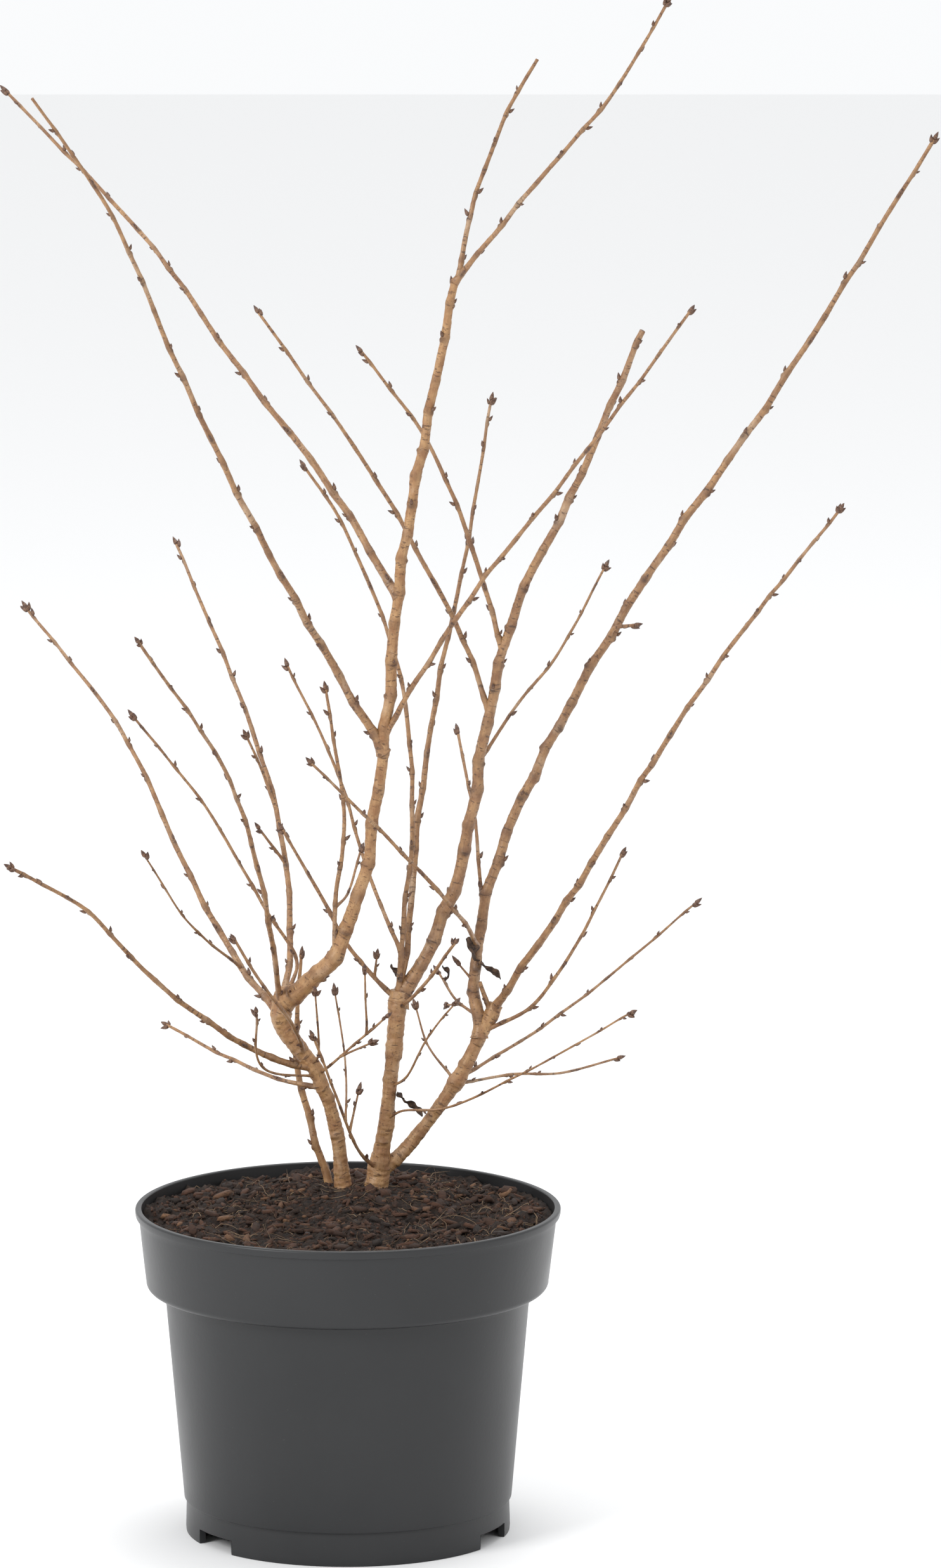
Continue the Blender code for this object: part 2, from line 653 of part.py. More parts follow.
def soil_height(place):
    """The soil's surface: level round the stems, falling away and lumpy elsewhere."""
    away = (place.xy - PLANTED_AT).length
    fall = min(max((away - LEVEL_RADIUS) / (MOUND_RADIUS - LEVEL_RADIUS), 0), 1)
    fall = fall * fall * (3 - 2 * fall)
    lump = noise.noise(Vector((place.x, place.y, 0)) / LUMP_SIZE) * LUMP_HEIGHT * fall
    return GROUND + (SOIL_AT_WALL - GROUND) * fall + lump


def build_soil(group):
    """The soil: it fills the pot to its wall and mounds up under the plant."""
    inside = [(max(radius - SOIL_GAP, 0), height + GAP) for radius, height in inner_profile()]
    top_radius = wall_radius(SOIL_AT_WALL) - WALL - SOIL_GAP
    rings = [(top_radius * (SOIL_RINGS - n) / SOIL_RINGS, SOIL_AT_WALL)
             for n in range(SOIL_RINGS + 1)]
    soil = turned("soil", (inside[:-1] + rings)[::-1])
    bpy.context.scene.collection.objects.unlink(soil)
    group.objects.link(soil)
    apply_modifiers(soil)
    for vert in soil.data.vertices:
        if vert.co.z > SOIL_AT_WALL - GAP:
            vert.co.z = soil_height(vert.co)
    soil.data.materials.append(material("soil", (0.07, 0.04, 0.025), 0.95))


def main():
    """Build the pot, its soil and the plant."""
    clear_scene()
    group = collection(NAME)
    guides = collection("guides")
    build_pot(group, guides)
    build_soil(group)
    build_limbs(group, guides)


main()
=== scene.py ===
# %% [markdown]
# # A bare flowering cherry in its nursery pot
# The plant is a young shrub in winter.  Its stems rise from the soil, fork low
# down and fan out in long shoots, with pointed buds and no leaves.  This lesson
# dresses a plain model of it.  The plain model gives every limb its route and its
# thickness, and each cell below turns one piece of it into a finished surface.
# Everything is in metres, with Z up, X to the right and Y to the back.

# %% The frame
import json
from collections import namedtuple

import bpy
import numpy as np
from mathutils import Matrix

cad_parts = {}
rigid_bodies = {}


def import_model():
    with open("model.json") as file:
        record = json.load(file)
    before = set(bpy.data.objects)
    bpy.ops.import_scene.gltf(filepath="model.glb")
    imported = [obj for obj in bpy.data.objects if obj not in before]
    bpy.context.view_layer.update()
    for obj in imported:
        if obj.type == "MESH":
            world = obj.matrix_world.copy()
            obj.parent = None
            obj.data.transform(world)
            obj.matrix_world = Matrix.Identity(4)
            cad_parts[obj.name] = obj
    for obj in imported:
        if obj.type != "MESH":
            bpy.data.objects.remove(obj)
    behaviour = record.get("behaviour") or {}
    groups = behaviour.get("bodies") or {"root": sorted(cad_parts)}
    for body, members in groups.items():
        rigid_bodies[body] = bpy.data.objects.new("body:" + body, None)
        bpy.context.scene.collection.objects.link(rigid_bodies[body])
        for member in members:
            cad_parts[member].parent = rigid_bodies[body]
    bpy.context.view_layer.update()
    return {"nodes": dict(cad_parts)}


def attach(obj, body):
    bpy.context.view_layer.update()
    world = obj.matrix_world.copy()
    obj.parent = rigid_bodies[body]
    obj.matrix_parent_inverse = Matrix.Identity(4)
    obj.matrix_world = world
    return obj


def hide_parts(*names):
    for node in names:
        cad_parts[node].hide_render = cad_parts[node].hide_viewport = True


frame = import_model()
MM = 0.001
FULL_TURN = 2 * np.pi
SEED = 7
print("nodes in the frame:", len(frame["nodes"]))

# %% [markdown]
# ## Camera
# The photograph was taken from about four and a half metres away, a little above
# the plant, with a long lens.  A camera could be moved by eye until the picture
# looks right, but a tall plant hides errors.  Its pot doesn't: the height and
# width of the rim, the band and the foot in the picture fix the distance, the
# downward tilt and the lens, and these values come from them.

# %% The camera
CAMERA_AT = (0.0548, -4.4, 1.115)
CAMERA_TILT = np.radians(10.02)
FOCAL_LENGTH = 232.2


def put_in_scene(name, data):
    """A new object for some data, linked to the scene."""
    thing = bpy.data.objects.new(name, data)
    bpy.context.scene.collection.objects.link(thing)
    return thing


lens = bpy.data.cameras.new("camera")
lens.lens = FOCAL_LENGTH
camera = put_in_scene("camera", lens)
camera.location = CAMERA_AT
camera.rotation_euler = (np.pi / 2 - CAMERA_TILT, 0, 0)
bpy.context.scene.camera = camera
print("camera at", CAMERA_AT)

# %% [markdown]
# ## Floor
# The plant stands on a plain pale floor.  It could be a bent sheet that rises
# behind the plant, but one large flat square is enough here, because the sky
# behind it is almost as pale.

# %% The floor
FLOOR_SIZE = 12.0
FLOOR_COLOUR = (0.9, 0.9, 0.9, 1)
FLOOR_ROUGHNESS = 0.9

half = FLOOR_SIZE / 2
floor_mesh = bpy.data.meshes.new("floor")
floor_mesh.from_pydata([(-half, -half, 0), (half, -half, 0), (half, half, 0), (-half, half, 0)],
                       [], [(0, 1, 2, 3)])
floor = put_in_scene("floor", floor_mesh)
pale = bpy.data.materials.new("pale_floor")
pale.use_nodes = True
pale.node_tree.nodes["Principled BSDF"].inputs["Base Color"].default_value = FLOOR_COLOUR
pale.node_tree.nodes["Principled BSDF"].inputs["Roughness"].default_value = FLOOR_ROUGHNESS
floor_mesh.materials.append(pale)
print("floor:", FLOOR_SIZE, "metres a side")

# %% [markdown]
# ## Light
# A catalogue picture has no hard shadows.  A sun lamp would throw one, so broad
# area lights and a pale world do the work: a strong light to the upper left, a
# weak one to the right, and one from above and behind, which brightens the rim.

# %% The lights and the sky
Light = namedtuple("Light", "name place size watts")
LIGHTS = [
    Light("key_light", (-1.9, -1.7, 1.6), 1.0, 44),
    Light("fill_light", (2.2, -1.6, 1.2), 1.6, 5),
    Light("rim_light", (0.3, 0.5, 2.4), 1.2, 22),
]
LIT_POINT = np.array([0.0, 0.0, 0.3])
SKY = (0.98, 0.99, 1.0, 1)
SKY_STRENGTH = 0.98

for light in LIGHTS:
    area = bpy.data.lights.new(light.name, "AREA")
    area.size = light.size
    area.energy = light.watts
    lamp = put_in_scene(light.name, area)
    lamp.location = light.place
    direction = LIT_POINT - np.array(light.place)
    flat = np.hypot(direction[0], direction[1])
    lamp.rotation_euler = (np.arctan2(flat, -direction[2]), 0,
                           np.arctan2(direction[1], direction[0]) - np.pi / 2)

world = bpy.data.worlds.new("studio")
world.use_nodes = True
world.node_tree.nodes["Background"].inputs["Color"].default_value = SKY
world.node_tree.nodes["Background"].inputs["Strength"].default_value = SKY_STRENGTH
bpy.context.scene.world = world
bpy.context.scene.view_settings.view_transform = "Standard"
print("lights:", [light.name for light in LIGHTS])

# %% [markdown]
# ## Surfaces as grids
# Every surface below is a grid of points: rows run along the piece and columns
# run round it.  Such a shape could be modelled with the mouse or built from
# curves, but a plant with hundreds of buds is quicker to make from whole arrays.
# Neighbouring points are joined by four-sided faces, and a fan of triangles
# closes each end.

# %% Faces of a grid
def unit(vectors):
    """Each vector divided by its own length."""
    return vectors / np.linalg.norm(vectors, axis=-1, keepdims=True)


def round_angles(number):
    """Evenly spaced directions round a circle: full turn times number over count."""
    return np.arange(number) / number * FULL_TURN


def ring_quads(rows, columns):
    """Faces between neighbouring rings: corner number = row times columns plus column."""
    row = np.arange(rows - 1)[:, None] * columns
    column = np.arange(columns)[None, :]
    onward = (column + 1) % columns
    corners = [row + column, row + onward, row + columns + onward, row + columns + column]
    return np.stack(corners, axis=-1).reshape(-1, 4)


def end_fans(rows, columns):
    """Triangles that close both ends, from one middle point below and one above."""
    column = np.arange(columns)
    onward = (column + 1) % columns
    foot = rows * columns
    last = (rows - 1) * columns
    low = np.stack([np.full(columns, foot), onward, column], axis=-1)
    high = np.stack([np.full(columns, foot + 1), last + column, last + onward], axis=-1)
    return np.concatenate([low, high])


def grid_faces(rows, columns):
    """All faces of a closed grid, in blocks: its four-sided ones, then its end fans."""
    return [ring_quads(rows, columns), end_fans(rows, columns)]


print("a tube of 3 rings of 4 points has", sum(map(len, grid_faces(3, 4))), "faces")

# %% [markdown]
# ## Many surfaces, one mesh
# A hundred shoots as a hundred objects would be slow and hard to handle.  A heap
# gathers loose surfaces and their values for each point, and turns them into one
# mesh.  A value that the mesh stores, such as how near a bud is, can steer the
# material later.

# %% The heap
class Heap:
    """Loose surfaces gathered as arrays, to become one mesh with named values."""

    def __init__(self):
        self.points = []
        self.faces = []
        self.values = {}
        self.count = 0

    def add(self, points, faces, **values):
        """Add one surface: its points, blocks of its faces and a value for each point."""
        self.points.append(points)
        self.faces += [block + self.count for block in faces]
        for name, value in values.items():
            self.values.setdefault(name, []).append(value)
        self.count += len(points)

    def piece(self, name, finish, slot):
        """Put everything gathered into one object that rides on the plant's body."""
        mesh = bpy.data.meshes.new(name)
        corners = [corner for block in self.faces for corner in block.tolist()]
        mesh.from_pydata(np.concatenate(self.points), [], corners)
        for key, blocks in self.values.items():
            value = np.concatenate(blocks)
            kind = "FLOAT" if value.ndim == 1 else "FLOAT_VECTOR"
            field = mesh.attributes.new(key, kind, "POINT")
            field.data.foreach_set("value" if value.ndim == 1 else "vector", value.ravel())
        mesh.shade_smooth()
        mesh.materials.append(finish)
        thing = put_in_scene(name, mesh)
        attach(thing, "root")
        print(name, "has", sum(len(face) - 2 for face in corners), "triangles")
        return thing


print("an empty heap has", Heap().count, "points")

# %% [markdown]
# ## Copies
# Buds, crumbs and chips are each one small shape, repeated.  Instances would be
# lighter, but an exported model loses them, so the copies are real points: the
# shape's coordinates are measured along three axes that each copy has of its own.

# %% Copies of a shape
STEEP = 0.9


def frames_along(directions, spins):
    """Three axes for each direction: two across it, turned by the spin, then itself."""
    steep = np.abs(directions[:, 2:3]) > STEEP
    helper = np.where(steep, [[1.0, 0.0, 0.0]], [[0.0, 0.0, 1.0]])
    across = unit(np.cross(helper, directions))
    over = np.cross(directions, across)
    first = np.cos(spins)[:, None] * across + np.sin(spins)[:, None] * over
    return np.stack([first, np.cross(directions, first), directions], axis=1)


def copies(shape, roots, axes, sizes):
    """Points of many copies: root plus the shape's coordinates along three sized axes."""
    placed = roots[:, None, :] + np.einsum("ki,nij->nkj", shape, axes * sizes[:, :, None])
    return placed.reshape(-1, 3)


def copied_faces(blocks, points_each, number):
    """Each block of a shape's faces, repeated for every copy."""
    shift = np.arange(number)[:, None, None] * points_each
    return [(block[None] + shift).reshape(-1, block.shape[1]) for block in blocks]


print("an upright copy's axes:", frames_along(np.array([[0.0, 0.0, 1.0]]), np.zeros(1)).tolist())

# %% [markdown]
# ## Unevenness
# Nothing grown is smooth.  Blender's own noise textures could push the points
# about, but a sum of sine waves in random directions is as good, and runs on all
# points at once.  Its size says how far apart the humps lie, and its seed makes
# it the same each time.

# %% Waves
WAVE_PARTS = 14
WAVE_SPREAD = (0.6, 1.6)


def waves(points, size, seed):
    """A smooth wandering value: a sum of sine waves of about one size in all directions,
    divided by the root of their number."""
    chance = np.random.default_rng(seed)
    headings = unit(chance.normal(size=(WAVE_PARTS, 3))) * FULL_TURN / size
    headings *= chance.uniform(*WAVE_SPREAD, (WAVE_PARTS, 1))
    phases = chance.uniform(0, FULL_TURN, WAVE_PARTS)
    return np.sin(points @ headings.T + phases).sum(-1) / np.sqrt(WAVE_PARTS)


print("a wave's height at the origin:", round(float(waves(np.zeros((1, 3)), 0.01, SEED)[0]), 3))

# %% [markdown]
# ## Materials
# Each finish is a Principled shader whose colour and bump come from noise.  A
# picture could be wrapped round the piece instead, but noise has no seam and
# stays sharp at any distance.  The helper below adds one node with each call, so
# that a finish reads like a recipe.

# %% Shader helpers
class Finish:
    """A Principled material that is built up node by node."""

    def __init__(self, name, colour, roughness):
        self.material = bpy.data.materials.new(name)
        self.material.use_nodes = True
        self.material.diffuse_color = (*colour, 1)
        self.tree = self.material.node_tree
        self.shader = self.tree.nodes["Principled BSDF"]
        self.shader.inputs["Base Color"].default_value = (*colour, 1)
        self.shader.inputs["Roughness"].default_value = roughness

    def add(self, kind, inputs, **settings):
        """Add a node; each input is a plain value or another node's output."""
        made = self.tree.nodes.new(kind)
        for name, value in settings.items():
            setattr(made, name, value)
        for key, value in inputs.items():
            if isinstance(value, bpy.types.NodeSocket):
                self.tree.links.new(value, made.inputs[key])
            else:
                made.inputs[key].default_value = value
        return made

    def stored(self, name, output="Fac"):
        """A number or vector that the mesh stores for each point."""
        return self.add("ShaderNodeAttribute", {}, attribute_name=name).outputs[output]

    def place(self):
        """The point's place in the object's own coordinates."""
        return self.add("ShaderNodeTexCoord", {}).outputs["Object"]

    def noise(self, place, pattern):
        """Soft noise, as a number from 0 to 1; its humps are drawn out by the stretch."""
        if pattern.stretch:
            mapping = {"Vector": place, "Scale": pattern.stretch}
            place = self.add("ShaderNodeMapping", mapping).outputs["Vector"]
        inputs = {"Vector": place, "Scale": pattern.scale, "Detail": pattern.detail,
                  "Roughness": pattern.roughness}
        return self.add("ShaderNodeTexNoise", inputs).outputs["Fac"]

    def between(self, value, low, high, start=0.0, end=1.0):
        """A number stretched from one range to another, and held at its ends."""
        inputs = {"Value": value, "From Min": low, "From Max": high, "To Min": start, "To Max": end}
        return self.add("ShaderNodeMapRange", inputs).outputs["Result"]

    def marks(self, place, pattern):
        """Noise sharpened into marks: 0 below the pattern's low value, 1 above its high one."""
        return self.between(self.noise(place, pattern), pattern.low, pattern.high)

    def reckon(self, operation, first, second):
        """Two numbers worked into one, such as their sum or product."""
        return self.add("ShaderNodeMath", {0: first, 1: second}, operation=operation).outputs[0]

    def mix(self, factor, first, second):
        """One colour turning into another as the factor rises."""
        made = self.add("ShaderNodeMix", {0: factor, 6: first, 7: second}, data_type="RGBA")
        return made.outputs[2]

    def tint(self, strength, factor, first, second):
        """One colour turning into another, only as far as the strength."""
        return self.mix(self.reckon("MULTIPLY", factor, strength), first, second)

    def use(self, output, socket):
        """Feed the shader's own socket."""
        self.tree.links.new(output, self.shader.inputs[socket])

    def bump(self, height, distance, strength):
        """Use a height to tilt the surface, with its depth in metres."""
        made = self.add("ShaderNodeBump", {"Height": height, "Distance": distance,
                                           "Strength": strength})
        self.use(made.outputs["Normal"], "Normal")


Pattern = namedtuple("Pattern", "scale detail low high stretch roughness",
                     defaults=(0.0, 1.0, None, 0.55))


def paint(red, green, blue):
    """A colour with its opacity."""
    return (red, green, blue, 1.0)


print("a pattern's values:", Pattern._fields)

# %% [markdown]
# ## Bark
# Young cherry bark is thin, tan to orange brown and slightly glossy.  Corky brown
# dots and short bars, the lenticels, lie across it, the skin peels grey here and
# there, and it is darkest round each bud.  All this runs round the limb, and a
# pattern in the object's own coordinates would not.  So each limb stores where
# every point would lie if the limb were pulled straight, and noise read there,
# drawn out one way or the other, gives cross marks and streaks.

# %% The bark's finish
BLOTCHES = Pattern(190.0, 4.0, 0.36, 0.66)
STREAKS = Pattern(900.0, 3.0, 0.4, 0.7, stretch=(1.0, 1.0, 0.16))
BARS = Pattern(620.0, 2.0, 0.60, 0.68, stretch=(0.42, 0.42, 1.5))
DOTS = Pattern(1150.0, 1.0, 0.64, 0.72)
PEELING = Pattern(110.0, 5.0, 0.55, 0.7, stretch=(1.0, 1.0, 0.5))
FINE_BARK = Pattern(1500.0, 3.0)
STREAKS_SHOW = 0.3
PEELING_SHOWS = 0.55
BARS_SHOW = 0.75
DOTS_SHOW = 0.6
JOINTS_SHOW = 0.8
BAR_HEIGHT = 0.7
BARK_RELIEF = 0.00025
BARK_BUMP = 0.7
GLOSS_RANGE = (-0.06, 0.12)


def bark_finish(name, light, warm, dark, silver, gloss):
    """Tan bark: blotches, streaks, a patchy silver skin, cross bars, dots, dark joints."""
    bark = Finish(name, light[:3], gloss)
    along_limb = bark.stored("straightened", "Vector")
    blotches = bark.marks(along_limb, BLOTCHES)
    bars = bark.marks(along_limb, BARS)
    skin = bark.mix(blotches, light, warm)
    skin = bark.tint(STREAKS_SHOW, bark.marks(along_limb, STREAKS), skin, dark)
    skin = bark.tint(PEELING_SHOWS, bark.marks(along_limb, PEELING), skin, silver)
    skin = bark.tint(BARS_SHOW, bars, skin, dark)
    skin = bark.tint(DOTS_SHOW, bark.marks(along_limb, DOTS), skin, dark)
    skin = bark.tint(JOINTS_SHOW, bark.stored("joint"), skin, dark)
    bark.use(skin, "Base Color")
    raised = bark.reckon("MULTIPLY", bars, BAR_HEIGHT)
    relief = bark.reckon("ADD", raised, bark.noise(along_limb, FINE_BARK))
    bark.bump(relief, BARK_RELIEF, BARK_BUMP)
    smooth, rough = (gloss + change for change in GLOSS_RANGE)
    bark.use(bark.between(blotches, 0.0, 1.0, smooth, rough), "Roughness")
    return bark.material


STEM_BARK = bark_finish("stem_bark", light=paint(0.42, 0.24, 0.105), warm=paint(0.28, 0.135, 0.055),
                        dark=paint(0.075, 0.032, 0.014), silver=paint(0.46, 0.32, 0.21), gloss=0.5)
TWIG_BARK = bark_finish("twig_bark", light=paint(0.36, 0.20, 0.09), warm=paint(0.22, 0.105, 0.046),
                        dark=paint(0.05, 0.023, 0.014), silver=paint(0.45, 0.32, 0.21), gloss=0.42)
print("bark finishes:", STEM_BARK.name, TWIG_BARK.name)

# %% [markdown]
# ## The limbs' routes
# The frame's limbs follow smooth curves through a few places.  The new surfaces
# could be read off the frame's meshes, but those are coarse.  So the same places,
# in millimetres, and the same curve are used again, and each new limb lies where
# the old one does.
#
# A stem's share is the place of its foot, sunk a little into the soil.  Any other
# limb leaves its parent at a share of the parent's length.  It runs through its
# places, the last of which is its tip, and its widths are spaced evenly along it.
# The last value says how much of a bough is a limb of its own in the frame, and
# the rest of it is a mass of twigs.

# %% Stems, boughs and twigs
Limb = namedtuple("Limb", "name parent share route across bough")
GROUND = 0.148
SUNK_MM = 4
ROOT_MM = GROUND / MM - SUNK_MM

STEMS = [
    Limb("left_stem", None, (-2, 36, ROOT_MM),
         [(-5, 34, 172), (-13, 31, 199), (-30, 29, 226), (-27, 28, 238)],
         (8.6, 6.8, 6.4, 6.6, 8.8, 8.6), 1),
    Limb("pale_stem", None, (-8, 42, ROOT_MM),
         [(-23, 45, 203), (-21, 50, 251)], (3.6, 3.4, 2.6, 1.6), 1),
    Limb("centre_stem", None, (12, 36, ROOT_MM),
         [(16, 35, 172), (19, 34, 197), (23, 33, 238)],
         (11.6, 8.2, 6.4, 6.4, 7.8, 7.2), 1),
    Limb("right_stem", "centre_stem", 0.10,
         [(27, 39, 166), (49, 41, 196), (66, 42, 230)], (6.8, 6.2, 6.4, 6.6), 1),
]

BOUGHS = [
    Limb("leader", "left_stem", 0.97,
         [(-11, 17, 250), (5, 9, 285), (18, -2, 369), (24, -10, 433), (48, -26, 564)],
         (8.2, 5.4, 5.2, 4.6, 3.8), 1),
    Limb("right_centre", "centre_stem", 0.93,
         [(31, 35, 246), (49, 29, 290), (63, 18, 366), (75, 10, 415), (100, 1, 468),
          (130, -13, 541)], (6.6, 5.8, 5.2, 4.2, 3.4, 2.8), 0.6),
    Limb("right", "right_stem", 0.82,
         [(57, 46, 248), (67, 53, 294), (89, 60, 343), (131, 71, 415), (195, 86, 506),
          (262, 102, 612)], (5.4, 4.8, 4.2, 3.6, 2.6, 1.8), 0.4),
    Limb("front_left", "leader", 0.38,
         [(-38, -35, 455), (-70, -60, 527), (-100, -87, 602), (-132, -107, 653)],
         (4.2, 3.0, 2.2, 1.4), 0.4),
    Limb("back_left", "leader", 0.585,
         [(-9, 13, 471), (-49, 35, 520), (-86, 57, 569), (-152, 89, 635)],
         (3.8, 2.8, 2.0, 1.4), 0.4),
    Limb("front_right", "right_stem", 0.97,
         [(101, 5, 289), (140, -40, 363), (168, -71, 411), (213, -114, 477)],
         (3.8, 3.0, 2.2, 1.4), 0.4),
    Limb("low_left", "left_stem", 0.61,
         [(-34, 20, 210), (-61, 0, 230), (-89, -19, 257), (-114, -38, 288), (-146, -60, 311)],
         (3.4, 2.6, 2.0, 1.6), 0.4),
    Limb("mid_left", "left_stem", 0.88,
         [(-49, 42, 249), (-70, 59, 283), (-102, 86, 346), (-146, 116, 398)], (3.4, 2.6, 2.0, 1.4), 0.35),
    Limb("rear_left", "left_stem", 0.90,
         [(-26, 58, 257), (-31, 82, 303), (-46, 109, 349), (-79, 149, 422)],
         (3.4, 2.6, 2.0, 1.4), 0.22),
    Limb("centre", "centre_stem", 0.97,
         [(27, 37, 262), (31, 45, 310), (41, 55, 376), (52, 63, 427), (64, 75, 498)],
         (2.8, 3.0, 2.4, 1.8, 1.4), 0.45),
]

TWIGS = [
    Limb("leader_top_twigs", "leader", 1,
         [(84, -49, 611), (116, -68, 651), (139, -87, 692)], (2.6, 2.2, 1.8, 1.4), 0),
    Limb("crossing_twigs", "leader", 0.40,
         [(26, -10, 377), (59, -45, 434), (88, -75, 475), (125, -115, 530), (148, -141, 566)],
         (2.6, 2.2, 1.8, 1.4), 0),
    Limb("forward_left_twigs", "left_stem", 0.93,
         [(-38, -18, 299), (-52, -53, 352), (-88, -100, 417)], (2.8, 2.4, 1.8, 1.4), 0),
    Limb("thin_left_twigs", "left_stem", 1,
         [(-23, 39, 250), (-38, 39, 276), (-63, 33, 321), (-95, 28, 363)],
         (1.8, 1.5, 1.2), 0),
    Limb("inner_left_twigs", "leader", 0.10,
         [(-5, 11, 286), (-1, 6, 317), (-9, -6, 381)], (2.3, 1.9, 1.4), 0),
    Limb("short_left_twigs", "centre_stem", 0.95,
         [(12, 36, 243), (1, 39, 256), (-15, 40, 285), (-29, 39, 310)], (2.3, 1.9, 1.4), 0),
    Limb("centre_left_twigs", "centre_stem", 0.99,
         [(25, 28, 272), (29, 29, 313), (23, 37, 382), (-5, 51, 451), (-19, 55, 471)],
         (2.6, 2.2, 1.8, 1.4), 0),
    Limb("upper_centre_twigs", "right_centre", 0.52,
         [(63, 11, 417), (53, 10, 449), (35, 12, 490), (7, 14, 528)], (2.5, 2.0, 1.4), 0),
    Limb("long_centre_twigs", "right_centre", 0.43,
         [(52, 20, 398), (36, 24, 429), (12, 33, 470), (-39, 48, 541)], (2.5, 2.0, 1.4), 0),
    Limb("rear_right_twigs", "right_centre", 0.36,
         [(77, 35, 369), (94, 50, 388), (115, 75, 423)], (1.7, 1.4, 1.1), 0),
    Limb("behind_centre_twigs", "right", 0.12,
         [(57, 60, 308), (49, 89, 346)], (1.8, 1.4), 0),
    Limb("diagonal_twigs", "right", 0.09,
         [(50, 16, 275), (25, -9, 308), (-15, -40, 354)], (2.3, 1.8, 1.2), 0),
    Limb("short_right_twigs", "right_stem", 0.85,
         [(82, 33, 231), (103, 18, 264), (122, 1, 306)], (2.0, 1.6, 1.2), 0),
    Limb("low_right_twigs", "right_stem", 0.60,
         [(83, 66, 212), (114, 92, 230), (157, 116, 262)], (1.7, 1.4, 1.1), 0),
    Limb("front_low_right_twigs", "centre_stem", 0.37,
         [(24, 24, 185), (42, 14, 188), (82, -18, 213), (125, -53, 245)], (1.2, 1.1, 0.9), 0),
    Limb("lowest_right_twigs", "right_stem", 0.57,
         [(76, 52, 196), (96, 60, 195), (121, 68, 200)], (1.5, 1.3, 1.1), 0),
    Limb("thorn_twigs", "right_stem", 0.58,
         [(36, 56, 208), (30, 68, 224)], (1.4, 1.1, 0.9), 0),
    Limb("centre_side_twigs", "centre_stem", 0.53,
         [(26, 25, 200), (36, 14, 221), (48, 4, 238)], (1.2, 0.9), 0),
    Limb("dead_twigs", "right", 0.02,
         [(48, 55, 230), (40, 68, 240)], (1.5, 1.1), 0),
    Limb("dead_spike_twigs", "right", 0.055,
         [(49, 47, 248)], (1.1, 0.9), 0),
    Limb("stub_twigs", "right_stem", 0.95,
         [(59, 37, 241)], (2.2, 2.0), 0),
    Limb("centre_spur_twigs", "centre_stem", 0.91,
         [(31, 17, 240), (48, -10, 268)], (1.8, 1.5), 0),
    Limb("base_twigs", "centre_stem", 0.12,
         [(4, 21, 169), (-6, 8, 198), (-15, -2, 224)], (1.7, 1.4, 1.2), 0),
    Limb("knot_twigs", "left_stem", 0.57,
         [(-6, 21, 208), (17, 12, 230)], (1.3, 1.1), 0),
    Limb("knot_spur_twigs", "left_stem", 0.63,
         [(-13, 18, 212), (-14, -2, 244)], (1.3, 0.9), 0),
    Limb("rear_low_left_twigs", "left_stem", 0.50,
         [(-28, 37, 196), (-55, 66, 201), (-83, 95, 210)], (2.2, 1.8, 1.4), 0),
    Limb("small_left_twigs", "left_stem", 0.56,
         [(-38, 5, 209), (-40, -13, 237)], (1.2, 1.1), 0),
    Limb("front_knot_twigs", "left_stem", 0.68,
         [(-24, 5, 228), (-36, -13, 248), (-49, -29, 273)], (2.0, 1.7, 1.4), 0),
    Limb("low_inner_left_twigs", "mid_left", 0.13,
         [(-70, 14, 272), (-89, -6, 306)], (1.5, 1.1, 0.9), 0),
]

# Side shoots, each fused to the mass that it leaves
SIDE_SHOOTS = [
    Limb("leader_cut_top", "leader_top_twigs", 0.02,
         [(55, -17, 594), (73, 0, 640), (84, 6, 658)], (2.4, 2.0, 1.7), 0),
    Limb("rear_left_fork", "rear_left_twigs", 0.27,
         [(-39, 90, 327), (-46, 82, 345)], (1.4, 1.2), 0),
    Limb("rear_left_spur", "rear_left_twigs", 0.13,
         [(-40, 68, 305)], (1.4, 1.2), 0),
    Limb("inner_left_fork", "inner_left_twigs", 0.18,
         [(0, 22, 284), (6, 39, 301)], (1.3, 1.1), 0),
    Limb("centre_left_fork", "centre_left_twigs", 0.08,
         [(10, 48, 286), (-5, 59, 333), (-27, 68, 379)], (2.0, 1.6, 1.2), 0),
    Limb("right_spur", "right_twigs", 0.03,
         [(119, 63, 397), (128, 60, 399)], (1.8, 1.6), 0),
    Limb("base_fork", "base_twigs", 0.45,
         [(-1, 28, 205), (-6, 41, 236)], (1.0, 0.9), 0),
    Limb("base_thorn", "base_twigs", 0.38,
         [(5, 16, 196)], (1.1, 0.9), 0),
    Limb("knot_fork", "knot_twigs", 0.75,
         [(8, -2, 254)], (1.1, 0.9), 0),
    Limb("knot_thorn", "knot_twigs", 0.40,
         [(11, 10, 219)], (1.0, 0.9), 0),
    Limb("short_left_thorn", "short_left_twigs", 0.16,
         [(13, 32, 254)], (1.1, 0.9), 0),
    Limb("dead_fork", "dead_twigs", 0.35,
         [(44, 71, 224)], (1.2, 0.9), 0),
]

print("limbs:", len(STEMS) + len(BOUGHS) + len(TWIGS) + len(SIDE_SHOOTS))

# %% [markdown]
# ## From places to a growing shoot
# Straight runs between the places would look like bent wire, and a plain spline
# swings past them.  A centripetal curve passes through every place without
# overshooting.  Its points are then spaced evenly, so that the skin's rings are.

# %% Smooth routes
SAMPLES = 24


